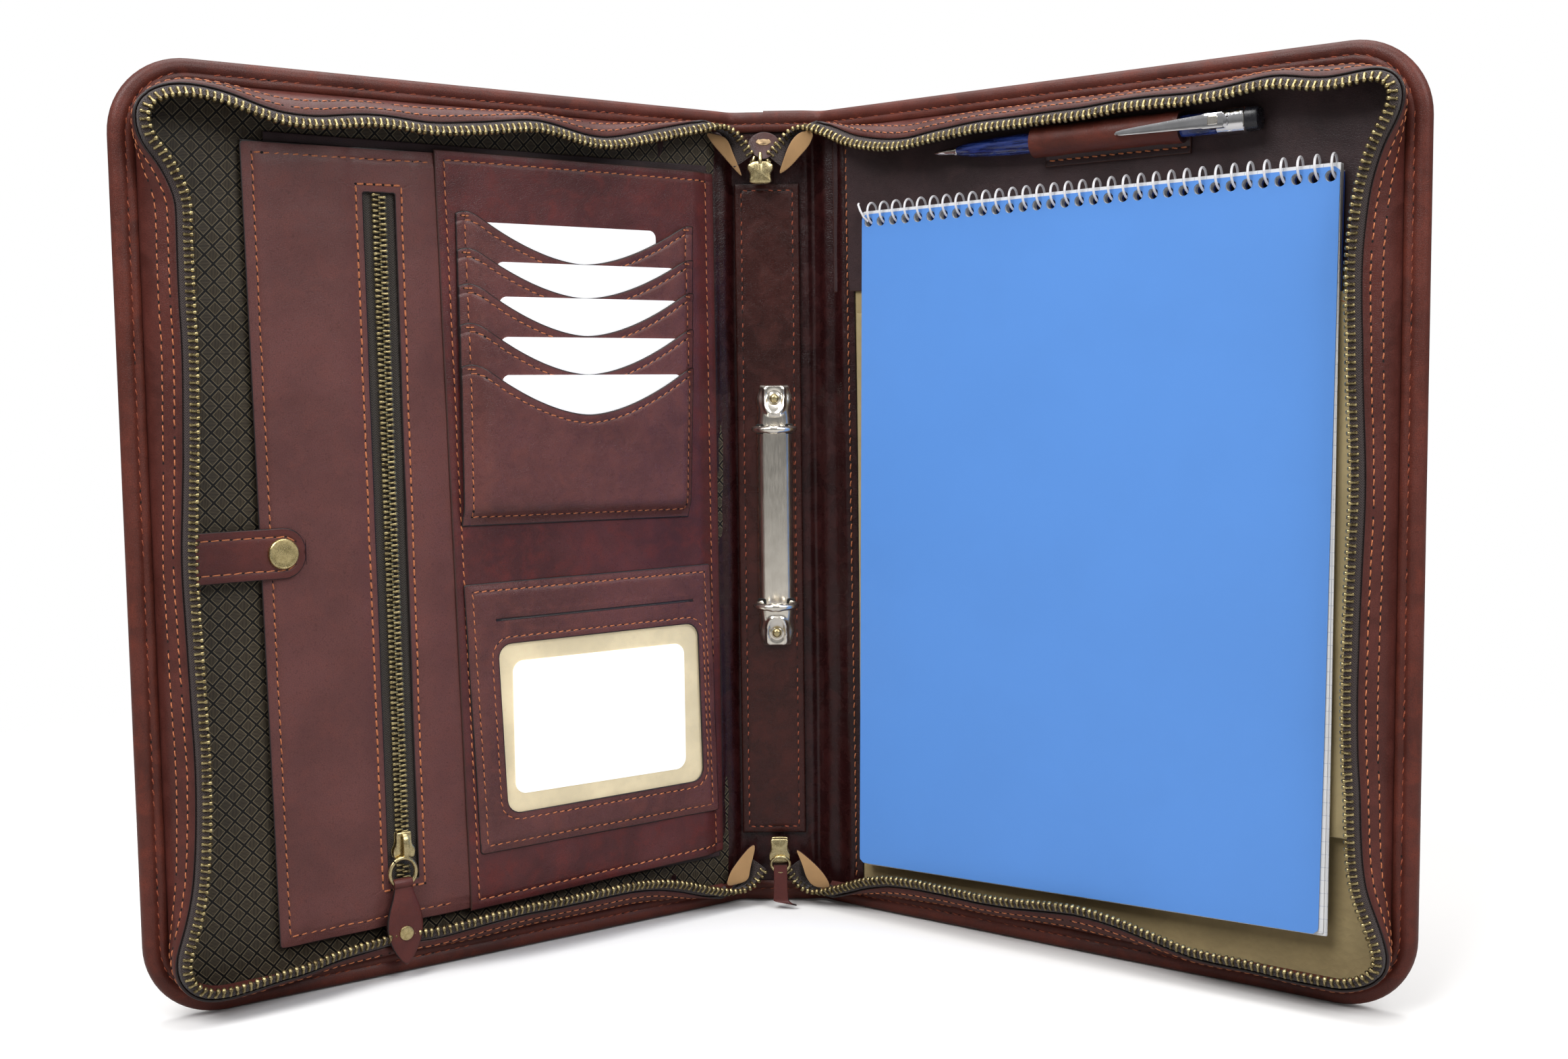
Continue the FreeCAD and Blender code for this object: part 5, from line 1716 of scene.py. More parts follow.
def pocket_zip_teeth():
    """Two rows of bar-shaped teeth, half a pitch apart, left out under the slider."""
    piece = Piece("pocket_zip_teeth", BRASS_TEETH)
    pitch = 2.1
    profile = [(-0.1, 0.34, 0.5), (0.15, 0.40, 0.66), (1.7, 0.42, 0.70), (2.3, 0.56, 0.72),
               (3.0, 0.56, 0.70), (3.25, 0.44, 0.5)]    # (distance, half width, half height)
    sections = []
    for x, width, height in profile:
        section = bar(width, height, 0.2, side=1)
        sections.append(xyz(x, section[:, 1], section[:, 0]))
    tooth = loft(sections)
    for sign, shift in ((-1, 0.0), (1, pitch / 2)):
        zs = np.arange(ZIP_LOW + 1, ZIP_HIGH - 1, pitch) + shift
        zs = zs[(zs < 47) | (zs > 59.5)]
        xs, _ = warp_zip(np.full(len(zs), ZIP_X), zs)
        centres = xyz(xs - sign * 0.25, 5.0 + RNG.normal(0, 0.03, len(zs)), zs)
        tilt = RNG.normal(0, 0.04, len(zs))
        along = xyz(sign * np.cos(tilt), 0, np.sin(tilt))
        into = np.tile(INTO, (len(zs), 1))
        piece.add("L", *copies(tooth, centres, along, into, np.cross(along, into)))
    piece.build("organizer", "antique_brass", "pocket_zip_teeth", angle=50)


# Creases across the card panel: (z, height, phase).
CARD_CREASES = [(322.0, 0.10, 0.0), (327.0, 0.08, 1.0), (176.0, 0.25, 2.0), (170.5, 0.2, 0.4)]


def card_panel_height(x, z):
    """The panel falls towards the hinge; hills are calmed behind window and card pockets."""
    calm = (1 - 0.8 * ease((z - 42) / 8) * ease((154 - z) / 8)) * (1 - 0.9 * ease((z - 240) / 12))
    height = (3.35 + 3.45 * ease((x - 13.5) / 13.5)
              + 0.30 * hills(x, z, 1.6, 2.5) * ease((x - 24) / 10) * calm)
    creases = sum(size * bell(z - 1.2 * np.sin(x * 0.06 + phase), crease_z, 1.1)
                  for crease_z, size, phase in CARD_CREASES)
    return height + creases * ease((x - 30) / 12) * ease((140 - x) / 10)


def card_panel_top(x, z, edge):
    outer = np.minimum(148 - x, np.minimum(z - 22.6, 335.2 - z))
    return (card_panel_height(x, z) - 0.35 * ease((4 - outer) / 4) - 0.26 * bell(outer, 4.0, 0.45)
            - 0.22 * bell(x, 19.0, 0.45) + 0.35 * bell(x, 16, 1.6))


def card_panel():
    piece = sewn_piece("card_panel", CARD_PANEL, RAW)
    left, right, low, high = CARD_BOX
    grid = groove_grid(4.0)
    xs = np.concatenate([left + np.array(EDGE_GRID), np.linspace(16, 30, 26),
                         spread(31, right, 2.6, [0.0], grid)])
    sheet(piece, "L", xs, low, high, card_panel_top,
          lambda x, z, edge: card_panel_height(x, z) - 1.35, grid=grid, step=2.6, edge_mat=1,
          radius=0.4, rim=0.4, warp=warp_card)
    x0, x1, z0, z1 = 19.0, 144, 26.6, 331.2
    for corners in ([(x1, z0), (x1, z1), (x0, z1)], [(x0, z0), (x1, z0)], [(x0, z1), (x0, z0)]):
        stitch_sides(piece, "L", corners, card_panel_top, warp=warp_card, **PANEL_STITCH)
    piece.build("organizer", "leather", "card_panel")


POCKET_TOPS = [312.0, 297.0, 282.5, 266.5, 249.5]   # back pocket first
POCKET_DIPS = [19.3, 18.7, 20.2, 20.5, 20.5]        # how far each mouth sags in the middle
FRONT = len(POCKET_TOPS) - 1


def pocket_mouth(k):
    """Sagging upper edge of pocket k, flattened at both ends."""
    power, join, blend = 1.72, 0.9, 0.16

    def mouth(x):
        share = np.abs(x - 82.5) / 50.0
        past = np.clip((share - join) / blend, 0, 1)
        start, slope = join ** power, power * join ** (power - 1) * blend
        flat = (start * (2 * past ** 3 - 3 * past ** 2 + 1)
                + slope * (past ** 3 - 2 * past ** 2 + past) - 2 * past ** 3 + 3 * past ** 2)
        rise = np.where(share < join, share ** power, flat)
        return (POCKET_TOPS[k] - POCKET_DIPS[k] * (1 - rise)
                - 1.2 * np.clip((share - 1.06) / 0.08, 0, 1) ** 2)
    return mouth


def card_pocket(piece, k, low):
    mouth = pocket_mouth(k)
    side_height, mid_height = 6.85 + 0.62 * k, 7.45 + 1.55 * k

    def side_distance(x):
        return np.minimum(x - POCKET_X0, POCKET_X1 - x)

    def bottom(x, z, edge):
        share = ease(np.minimum((x - POCKET_X0) / 6.2, (POCKET_X1 - x) / 11))
        height = side_height + (mid_height - side_height) * share
        if k == FRONT:
            height = 6.85 + (height - 6.85) * ease((z - low) / 8.5)
        return height + 0.16 * hills(x, z, 1.7, k * 1.3) * ease(side_distance(x) / 12)

    def top(x, z, edge):
        below = mouth(x) - z
        height = bottom(x, z, edge) + 0.78 + 0.10 * bell(below, 1.6, 1.2)
        height = (height - 0.24 * bell(below * 0.96, 3.5, 0.42)
                  - 0.22 * bell(side_distance(x), 4.0, 0.42))
        if k == FRONT:
            height = height - 0.22 * bell(z, low + 4.0, 0.42)
        return height

    grid = groove_grid(3.6)
    sheet(piece, "L", spread(POCKET_X0, POCKET_X1, 2.2, groove_grid(4.0)), low, mouth, top,
          bottom, grid=grid if k == FRONT else EDGE_GRID, high_grid=grid, step=2.2, edge_mat=1,
          radius=0.36, rim=0.42, warp=warp_pocket)

    def row(line, **style):
        stitch(piece, "L", line, top, warp=warp_pocket, **style)

    row([(x, mouth(x) - 3.6) for x in np.linspace(31.5, 136, 90)], **POCKET_STITCH)
    end = POCKET_TOPS[k + 1] + 1 if k < FRONT else low + 3.5
    for x in (32.0, 135.5):
        row([(x, POCKET_TOPS[k] - 5.0), (x, end)], **POCKET_STITCH)
        # short tack across the corner of the mouth
        row([(x - 1.6, POCKET_TOPS[k] - 2.0), (x + 1.6, POCKET_TOPS[k] - 2.0)],
            pitch=1.6, fill=0.95, radius=0.34, slant=0.0, hole=0.4, sink=0.02)
    if k == FRONT:
        row([(32, low + 4), (135.5, low + 4)], **POCKET_STITCH)


def card_pockets():
    piece = sewn_piece("card_pockets", POCKET)
    for k in range(FRONT):
        card_pocket(piece, k, POCKET_TOPS[k] - 52)
    piece.build("organizer", "leather", "card_pockets")
    piece = sewn_piece("card_pocket_front", POCKET)
    card_pocket(piece, FRONT, POCKET_LOW)
    piece.build("organizer", "leather", "card_pocket_front")


def window_top(x, z, edge):
    x0, x1, z0, z1, _ = WINDOW_POCKET
    outer = np.minimum(np.minimum(x - x0, x1 - x), np.minimum(z - z0, z1 - z))
    inner = -box_depth(x, z, *WINDOW)
    height = 7.35 + 1.15 * ease((outer + 1) / 7)
    height = (height - 0.26 * bell(outer, 3.5, 0.45)
              - 0.24 * bell(inner, 3.0, 0.45) * (inner < 7))
    return (height + 0.14 * hills(x, z, 2.0, 5.0)
            - 0.5 * bell(z, 144.9, 0.55) * ((x > 30) & (x < 126))
            + 0.25 * bell(z, 146.6, 0.9) * ((x > 29) & (x < 127)))


def window_pocket():
    piece = sewn_piece("id_pocket_frame", POCKET)
    window_sheet(piece, "L", WINDOW_POCKET, WINDOW, window_top,
                 lambda x, z, edge: np.minimum(7.72, window_top(x, z, edge) - 0.6),
                 groove_grid(3.5), groove_grid(3.0), radius=0.34, rim=0.4, warp=warp_window,
                 middle=12, side_points=40)
    x0, x1, z0, z1, _ = WINDOW
    line = rounded_box(x0 - 3.0, x1 + 3.0, z0 - 3.0, z1 + 3.0, 8.5, side=30)
    stitch(piece, "L", np.concatenate([line, line[:1]]), window_top, warp=warp_window,
           **POCKET_STITCH)
    x0, x1, z0, z1 = 23, 135.5, 47.5, 157.5
    stitch_sides(piece, "L", [(x0, z0), (x1, z0), (x1, z1), (x0, z1), (x0, z0)], window_top,
                 warp=warp_window, **POCKET_STITCH)
    # dark mouth of the pocket, a slit above the window: a strip in edge paint, partly the slit's
    # painted edge and partly painted shade in its opening
    sheet(piece, "L", np.linspace(30, 126, 60), 144.35, 145.35,
          lambda x, z, edge: window_top(x, z, edge) + 0.30,
          lambda x, z, edge: window_top(x, z, edge) - 0.5, grid=[0, 0.15], step=0.4, mat=1,
          radius=0.15, warp=warp_window)
    piece.build("organizer", "leather", "id_pocket")


def window_backing():
    piece = Piece("id_backing", BACKING)
    sheet(piece, "L", spread(25, 129, 5), 56, 139, lambda x, z, edge: 6.98 + 0.03 * hills(x, z, 2),
          6.62, warp=warp_window, radius=0.1)
    piece.build("organizer", "leather", "id_backing")


def window_film():
    piece = Piece("id_film", FILM)

    def film(height):
        return lambda x, z, edge: height + 0.10 * hills(x, z, 2.4, 1.0) * ease((edge - 3) / 10)

    sheet(piece, "L", spread(25, 129, 4), 57, 137, film(7.68), film(7.60), warp=warp_window,
          radius=0.02, step=4)
    piece.build("organizer", "film", "id_window")


def cards():
    for i in range(1, 6):
        # the CAD may hold fewer than five cards
        if "card_%d" % i in frame["nodes"]:
            repaint("card_%d" % i, WHITE)
    repaint("id_card", WINDOW_WHITE)


# ---------------------------------------------------------------- closing strap
STRAP_Z, STRAP_HALF = 177.15, 9.85
STRAP_TIP, STRAP_ROUND, STRAP_END = 204, 9.4, 250.5
STRAP_SEAM = 3.3


def strap_half(x):
    share = np.clip((STRAP_TIP + STRAP_ROUND - x) / STRAP_ROUND, 0, 1)
    return STRAP_HALF * np.clip(1 - share ** 2.35, 0, 1) ** 0.5 + 0.02


def strap_height(x):
    return np.interp(x, [204, 216, 224, 232, 240, 246, 250.5],
                     [5.95, 6.0, 6.25, 6.9, 8.0, 8.9, 9.2])


def closing_strap():
    piece = sewn_piece("closing_strap", TAB)
    shoulder = STRAP_TIP + STRAP_ROUND
    tip = STRAP_TIP + STRAP_ROUND * (1 - np.cos(np.linspace(0.0, np.pi / 2, 26)))
    xs = np.concatenate([tip, np.linspace(shoulder, STRAP_END, 60)[1:]])

    def top(x, z, edge):
        ripple = 0.16 * np.clip((x - 240) / 10, 0, 1) * np.sin(z * 0.9) * 0.3
        return (strap_height(x) + 1.25 - 0.24 * bell(edge, STRAP_SEAM, 0.45)
                + 0.10 * ease((edge - 4) / 4) - ripple)

    sheet(piece, "L", xs, lambda x: STRAP_Z - strap_half(x), lambda x: STRAP_Z + strap_half(x),
          top, lambda x, z, edge: strap_height(x), grid=groove_grid(STRAP_SEAM), step=1.6,
          edge_mat=1, radius=0.42, rim=0.36)
    reach = STRAP_ROUND - STRAP_SEAM
    xs = np.concatenate([np.linspace(250, shoulder, 40),
                         shoulder - reach * np.sin(np.linspace(0, np.pi / 2, 16))[1:]])
    past = np.maximum((shoulder - xs) / reach, 0)
    halves = (STRAP_HALF - STRAP_SEAM) * np.sqrt(np.clip(1 - past ** 2.2, 0, 1))
    line = np.concatenate([np.stack([xs, STRAP_Z + halves], 1),
                           np.stack([xs, STRAP_Z - halves], 1)[::-1][1:]])
    stitch(piece, "L", line, lambda x, z, edge: strap_height(x) + 1.02, pitch=4.3, fill=0.84,
           radius=0.26, slant=0.05, hole=0.5)
    piece.build(("left_cover", "strap", place_m("L", 247, 8, 177), place_m("L", 239, 8, 177)),
                "leather", "strap", "strap_root")


def strap_stud():
    piece = Piece("strap_stud", BRASS_STUD)
    lathe(piece, "L", (213.2, 7.15, STRAP_Z - 0.05), "y",
          [(6.05, 0.0), (6.05, 1.0), (5.9, 1.45), (5.45, 1.75), (5.25, 1.72), (5.0, 1.66),
           (3.2, 1.78), (1.4, 1.84), (0.4, 1.86)], 44)
    piece.build("strap", "antique_brass", "strap_stud")


# ---------------------------------------------------------------- pocket zip slider and pull
SLIDER_X = float(warp_zip(ZIP_X, 53.0)[0])
# Left half of the slider's plate, (x from its middle, z).
SLIDER_HALF = [(-3.1, 60.0), (-3.3, 58.6), (-3.25, 56.5), (-3.6, 54.6), (-4.6, 52.9),
               (-4.7, 51.6), (-4.35, 49.8), (-3.9, 49.2)]
# Bridge over the slider, (z, y, half width, half thickness).
SLIDER_BRIDGE = [
    (59.0, 7.1, 1.0, 0.5), (59.2, 7.9, 1.05, 0.55), (58.6, 8.75, 1.2, 0.6),
    (57.0, 9.35, 1.35, 0.6), (54.6, 9.7, 1.35, 0.55), (52.2, 9.6, 1.3, 0.55),
    (50.6, 9.2, 1.25, 0.6), (49.6, 8.4, 1.15, 0.55), (49.5, 7.5, 1.0, 0.5)]


def pocket_slider():
    piece = Piece("pocket_slider", BRASS_HARDWARE, SHADE_BLACK)
    outline = ([(SLIDER_X + x, z) for x, z in SLIDER_HALF] + [(SLIDER_X + 1.0, 49.0)]
               + [(SLIDER_X - x, z) for x, z in SLIDER_HALF[::-1]] + [(SLIDER_X, 60.2)])
    outline = resample(outline, 0.5, closed=True)
    plate(piece, "L", outline, 5.95, 7.3, bevel=0.45, dome=0.15)
    middle = np.array([SLIDER_X, 54.5])
    plate(piece, "L", middle + (outline - middle) * 0.96, 3.75, 4.15, bevel=0.15)
    sections = []
    steps = tangents(np.array(SLIDER_BRIDGE)[:, :2])
    for (z, y, width, thick), (step_z, step_y) in zip(SLIDER_BRIDGE, steps):
        section = bar(width, thick, 0.3)
        sections.append(xyz(SLIDER_X + section[:, 0], y - section[:, 1] * step_z,
                            z + section[:, 1] * step_y))
    piece.add("L", *loft(sections))
    piece.build("pocket_slider", "antique_brass", "pocket_slider")


def pull_split_ring():
    piece = Piece("pull_split_ring", BRASS_HARDWARE)
    angle = np.linspace(0.10, 2 * np.pi + 0.02, 49) + math.radians(48)
    tube(piece, "L", xyz(SLIDER_X + 1.5 + 5.6 * np.cos(angle),
                         8.7 + 0.25 * (np.arange(49) / 48.0 - 0.5), 44.0 + 5.9 * np.sin(angle)),
         0.85, segments=14)
    piece.build("pull_ring", "antique_brass", "pull_ring")


TAB_X, TAB_TOP = SLIDER_X + 2.0, 40.6
# Half width of the pull tab at distances down from its top.
TAB_DOWN = [0.0, 1.0, 2.2, 4.0, 7.0, 11.0, 15.0, 19.0, 23.0, 27.0, 30.5, 33.0, 34.4]
TAB_HALF = [3.75, 3.85, 3.9, 4.1, 5.0, 6.5, 7.45, 7.75, 7.2, 5.7, 3.7, 1.7, 0.15]


def tab_height(down):
    return 9.4 + 1.35 * ease(down / 12) + 0.4 * np.clip((down - 12) / 22, 0, 1)


def pull_tab():
    """Cupped leather drop, folded over the split ring at its top."""
    piece = sewn_piece("pull_tab", TAB)
    downs = np.linspace(0, TAB_DOWN[-1], 70)
    halves = smooth(np.interp(downs, TAB_DOWN, TAB_HALF)[:, None], sigma=0.9, step=0.5)[:, 0]
    halves[-1] = 0.2
    section = bar(1, 1, 0.55, corner=4, side=10)
    sections = []
    for down, half in zip(downs, halves):
        x = section[:, 0] * half
        thick = 0.95 if half > 1.2 else 0.95 * max(half / 1.2, 0.12)
        cup = 0.012 * x ** 2 * ease(down / 10)
        sections.append(xyz(TAB_X + x, tab_height(down) + section[:, 1] * thick - cup,
                            TAB_TOP - down))
    points, faces = loft(sections)
    off_middle = np.abs(section[:, 0])
    mats = np.where(np.tile(off_middle > 0.93, len(sections) - 1), 1, 0)
    wear = np.tile(np.exp(-(1 - off_middle) * 5) * 0.6, len(sections))
    piece.add("L", points, faces, [mats, 1], points[:, [0, 2]], np.concatenate([wear, [0, 1]]))
    # fold: section (share of the half width, radius)
    fold = np.array([(-1, 1.05), (-1, 2.0), (-0.9, 2.12), (0, 2.16), (0.9, 2.12), (1, 2.0),
                     (1, 1.05)])
    sections = [xyz(TAB_X + fold[:, 0] * 3.85, 9.0 + fold[:, 1] * math.cos(angle),
                    TAB_TOP - 1.0 + fold[:, 1] * math.sin(angle))
                for angle in np.linspace(-0.45 * np.pi, 1.15 * np.pi, 22)]
    points, faces = loft(sections)
    piece.add("L", points, faces, 0, points[:, [0, 2]])
    piece.build("pull_tab", "leather", "pull_tab", angle=60)


def pull_tab_rivet():
    piece = Piece("pull_tab_rivet", BRASS_STUD)
    down = 21.0
    lathe(piece, "L", (TAB_X, tab_height(down) + 0.85, TAB_TOP - down), "y",
          [(3.0, -0.5), (3.0, 0.35), (2.85, 0.62), (2.4, 0.78), (1.2, 0.88), (0.3, 0.92)], 32)
    piece.build("pull_tab", "antique_brass", "pull_tab_rivet")


# ---------------------------------------------------------------- right cover: panel and band
def right_upper_panel():
    piece = sewn_piece("right_upper_panel", DUSKY, RAW)
    inset = 11.6
    sheet(piece, "R", cover_xs(inset, 9.5, 6.0), 282, cover_high(inset),
          lambda x, z, edge: 2.85 + 0.25 * hills(x, z, 1.2, 3.0) * ease(edge / 10), 2.2, step=5,
          edge_mat=1, radius=0.3)
    piece.build("right_cover", "leather_lining", "right_top_panel")


def pad_band():
    """Beige panel behind the pad."""
    piece = sewn_piece("pad_band", BAND_BEIGE, RAW)

    def top(x, z, edge):
        return 6.1 + 0.10 * hills(x, z, 1.5, 2.0) - 0.18 * bell(z, 268.4, 0.4)

    sheet(piece, "R", spread(24.0, 255, 6), 66, 272, top, 5.2, step=5, radius=0.4)
    stitch(piece, "R", [(25.6, 268.4), (253, 268.4)], top, pitch=3.6, radius=0.24, hole=0.36)
    piece.build("right_cover", "leather_flesh", "pad_band")


# ---------------------------------------------------------------- pen and its loop
PEN_Y, PEN_Z, PEN_RADIUS = 9.0, 338.0, 4.6
PEN_AXIS = (0, PEN_Y, PEN_Z)


def pen_loop():
    """Open leather tube round the pen, with a stitched flange below it."""
    piece = Piece("pen_loop", BINDING, RAW, THREAD, HOLE_SHADE, DUSKY)
    start, end = 114.5, 178.5
    angle = np.linspace(math.radians(-165), math.radians(165), 40)
    to_y, to_z = np.sin(angle + math.pi / 2), np.cos(angle + math.pi / 2)
    sections = []
    for x in np.linspace(start, end, 60):
        near = min(x - start, end - x)
        wave = 0.16 * math.sin(x * 0.22) + 0.1 * math.sin(x * 0.51 + 1)
        flare = 0.35 * math.exp(-near / 2.0)
        outer = (PEN_RADIUS + 1.55 + 0.12 * math.exp(-near) + wave * 0.6
                 - 0.35 * math.exp(-near / 0.5) + flare)
        inner = PEN_RADIUS + 0.32 + flare
        ripple = 0.12 * np.sin(3 * angle + x * 0.05)
        outside = xyz(x, PEN_Y + (outer + ripple) * to_y, PEN_Z + outer * to_z)
        inside = xyz(x, PEN_Y + inner * to_y, PEN_Z + inner * to_z)
        sections.append(np.concatenate([outside, inside[::-1]]))
    points, faces = loft(sections)
    piece.add("R", points, faces, [0, 1],
              np.stack([points[:, 0], points[:, 1] * 1.3 + points[:, 2]], 1))

    def lean(x, z):
        return x + (z - 334) * 0.05, z

    def flange(x, z, edge):
        return (4.35 + 0.55 * ease((z - 331.6) / 1.6) + 0.10 * np.sin(x * 0.18)
                - 0.22 * bell(z, 330.7, 0.45))

    sheet(piece, "R", spread(117.0, 180.0, 3), 328.2, 335.0, flange, 2.95,
          grid=[0, 0.1, 0.3, 0.8, 1.6, 2.1, 2.5, 2.9, 3.6], high_grid=[0, 0.5], step=0.8, mat=4,
          edge_mat=1, radius=0.4, warp=lean)
    stitch(piece, "R", [(118.2, 330.7), (179, 330.7)], flange, warp=lean, pitch=3.9, fill=0.72,
           radius=0.34, hole=0.55)
    piece.build("right_cover", "leather", "pen_loop")


def pen_barrel():
    piece = Piece("pen_barrel", PEN_BLUE, CHROME)
    lathe(piece, "R", PEN_AXIS, "x",
          [(1.5, 78.0), (1.9, 78.2), (2.35, 80.1), (3.0, 84.6), (3.5, 90.6), (3.95, 98.6),
           (4.2, 108.6), (4.3, 122.6), (4.3, 192.6), (4.1, 192.8)], 40)
    piece.build("pen", "pen_blue", "pen_barrel")


# Squarish cap, (x, radius).
PEN_CAP = [(193.4, 4.35), (193.6, 4.8), (204.2, 5.0), (204.5, 4.7), (204.6, 4.55), (208.9, 4.4),
           (209.4, 4.1), (209.6, 3.2)]
# Clip from its point to its root, (x, half width, rise, half thickness).
PEN_CLIP = [
    (153.0, 0.15, 0.2, 0.25), (153.8, 0.8, 0.3, 0.45), (156.4, 1.15, 0.4, 0.5),
    (163, 1.5, 0.6, 0.5), (175, 2.0, 0.9, 0.5), (185, 2.4, 1.1, 0.55), (189, 2.6, 1.2, 0.6),
    (190, 2.9, 1.2, 0.7), (197.2, 2.9, 1.2, 0.7), (197.6, 2.6, 1.2, 0.4)]


def pen_metal():
    piece = Piece("pen_metal", CHROME, CAP_DARK, NICKEL)
    lathe(piece, "R", PEN_AXIS, "x",
          [(0.45, 66.9), (0.6, 67.1), (0.75, 68.4), (1.1, 69.2), (1.35, 72.6), (1.6, 77.0),
           (2.05, 77.2), (2.1, 78.0), (1.9, 78.2)], 30)
    angle = full_turn(32)
    to_y, to_z = superellipse(np.sin(angle), 0.75), superellipse(np.cos(angle), 0.75)
    sections = [xyz(x, PEN_Y + radius * to_y, PEN_Z + radius * to_z) for x, radius in PEN_CAP]
    piece.add("R", *loft(sections),     # the far end of the cap is dark
              [np.repeat([0, 0, 0, 0, 1, 1, 1], 32), np.repeat([0, 1], 32)])
    sections = []
    for x, half, rise, thick in PEN_CLIP:
        y = PEN_Y + PEN_RADIUS + np.interp(x, [152, 159, 188, 198], [2.25, 2.55, 2.9, 2.3])
        section = bar(half, thick, min(0.3, thick * 0.6))
        sections.append(xyz(x, y + section[:, 1], PEN_Z - 1.5 + rise + section[:, 0]))
    piece.add("R", *loft(sections))
    # block that joins the clip to the cap
    sections = []
    for above, half in ((3.6, 2.9), (4.8, 2.8), (6.4, 2.6), (7.0, 2.4)):
        section = rounded_box(191.0, 197.4, -half, half, 0.5, corner=3, side=2)
        sections.append(xyz(section[:, 0], PEN_Y + above, PEN_Z - 0.3 + section[:, 1]))
    piece.add("R", *loft(sections))
    outline = rounded_box(191.6, 195.6, PEN_Z - 1.9, PEN_Z + 1.5, 0.5, corner=3, side=2)
    face = PEN_Y + PEN_RADIUS
    plate(piece, "R", outline, face + 3.1, face + 3.7, bevel=0.25, mat=2)
    piece.build("pen", "chrome", "pen_metal")


# ---------------------------------------------------------------- spiral pad
PAD_LOW, PAD_HIGH = box_mm("pad_cover")[:, 2]
PAGES_HIGH = box_mm("pad_pages")[1][2]
PAD_X0, PAD_X1 = 28.0, 238.0
COIL_LOW, COIL_HIGH = box_mm("pad_coil")[:, 2]
COIL_Z = (COIL_LOW + COIL_HIGH) / 2
COIL_Y = 8.3
COIL_RADIUS = (COIL_HIGH - COIL_LOW) / 2 - 0.5
COIL_PITCH, COIL_TURNS = 6.35, 33
HOLE_XS = 133.0 - (COIL_TURNS // 2) * COIL_PITCH + COIL_PITCH * np.arange(COIL_TURNS)
HOLE_Z, HOLE_RADIUS = COIL_Z - 3.8, 2.2
CELL = 4        # grid steps across the square cell round each hole


def pad_tilt(x, z):
    """The pad hangs slightly turned."""
    return x + (z - 168) * 0.014, z + (x - 133) * 0.013


def perforated(piece, low, high, z0, z1, bend=0.0, edge_mat=0, corner=2.5, rows=24, lean=0.0):
    """Sheet punched for the coil: round holes let into a regular grid.

    It lies between the heights low and high; lean shifts it sideways as it hangs down.
    """
    steps = np.arange(CELL) / CELL - 0.5
    xs = np.concatenate([[PAD_X0]] + [hole + COIL_PITCH * steps for hole in HOLE_XS]
                        + [[HOLE_XS[-1] + COIL_PITCH / 2], [PAD_X1]])
    cell_z = HOLE_Z + COIL_PITCH * (np.arange(CELL + 1) / CELL - 0.5)
    zs = np.concatenate([z0 + np.array([0, 0.5, 1.5, 3.5]),
                         np.linspace(z0 + 3.5, cell_z[0], rows)[1:-1], cell_z,
                         [max(z1 - 0.6, cell_z[-1] + 0.05), max(z1, cell_z[-1] + 0.1)]])
    x, z = np.meshgrid(xs, zs, indexing="ij")
    side = np.minimum(x - PAD_X0, PAD_X1 - x)
    cut = corner - np.sqrt(np.maximum(corner ** 2 - (corner - side) ** 2, 0))
    cut = np.where(side < corner, cut, 0)
    z = np.maximum(z, z0 + cut)
    z = np.minimum(z, z1 - cut * (z > z1 - corner * 1.2))
    columns = x.shape[1]
    index = np.arange(x.size).reshape(x.shape)
    faces = grid_faces(*x.shape)
    row, column = faces[:, 0] // columns, faces[:, 0] % columns
    first = len(zs) - 2 - (CELL + 1)
    in_cell = ((row >= 1) & (row < 1 + COIL_TURNS * CELL)
               & (column >= first) & (column < first + CELL))
    face_groups, holes = [faces[~in_cell]], []
    all_x, all_z = [x.ravel()], [z.ravel()]
    for k, hole_x in enumerate(HOLE_XS):
        left = 1 + k * CELL
        square = grid_border(CELL + 1, CELL + 1)
        square = index[left:left + CELL + 1, first:first + CELL + 1].ravel()[square]
        angle = np.arctan2(z.ravel()[square] - HOLE_Z, x.ravel()[square] - hole_x)
        all_x.append(hole_x + HOLE_RADIUS * np.cos(angle))
        all_z.append(HOLE_Z + HOLE_RADIUS * np.sin(angle))
        circle = x.size + k * len(square) + np.arange(len(square))
        holes.append(circle)
        face_groups.append(np.stack([square, np.roll(square, -1), np.roll(circle, -1), circle],
                                    1))
    border = grid_border(*x.shape)
    x, z = np.concatenate(all_x), np.concatenate(all_z)
    height = as_function(bend)(x, z)
    z = z + (4.2 + 2.4 * (x - PAD_X0) / 210.0) * np.clip((COIL_Z - z) / 290.0, 0, 1)
    walls = [wall(border, x.size)]
    for circle in holes:
        after = np.roll(circle, -1)
        walls.append(np.stack([circle, circle + x.size, after + x.size, after], 1))
    tilted_x, tilted_z = pad_tilt(x + lean * (z - COIL_Z) / 280, z)
    add_skins(piece, "R", tilted_x, tilted_z, high + height, low + height,
              np.concatenate(face_groups), walls, 0, edge_mat, np.stack([x, z], 1))


def cover_curl(x, z):
    """The free lower corner lifts off the block."""
    return (0.9 * ease((110 - z) / 95) * ease((x - 120) / 115)
            + 0.22 * np.sin((x - 40) * 0.028) * ease((300 - z) / 60))


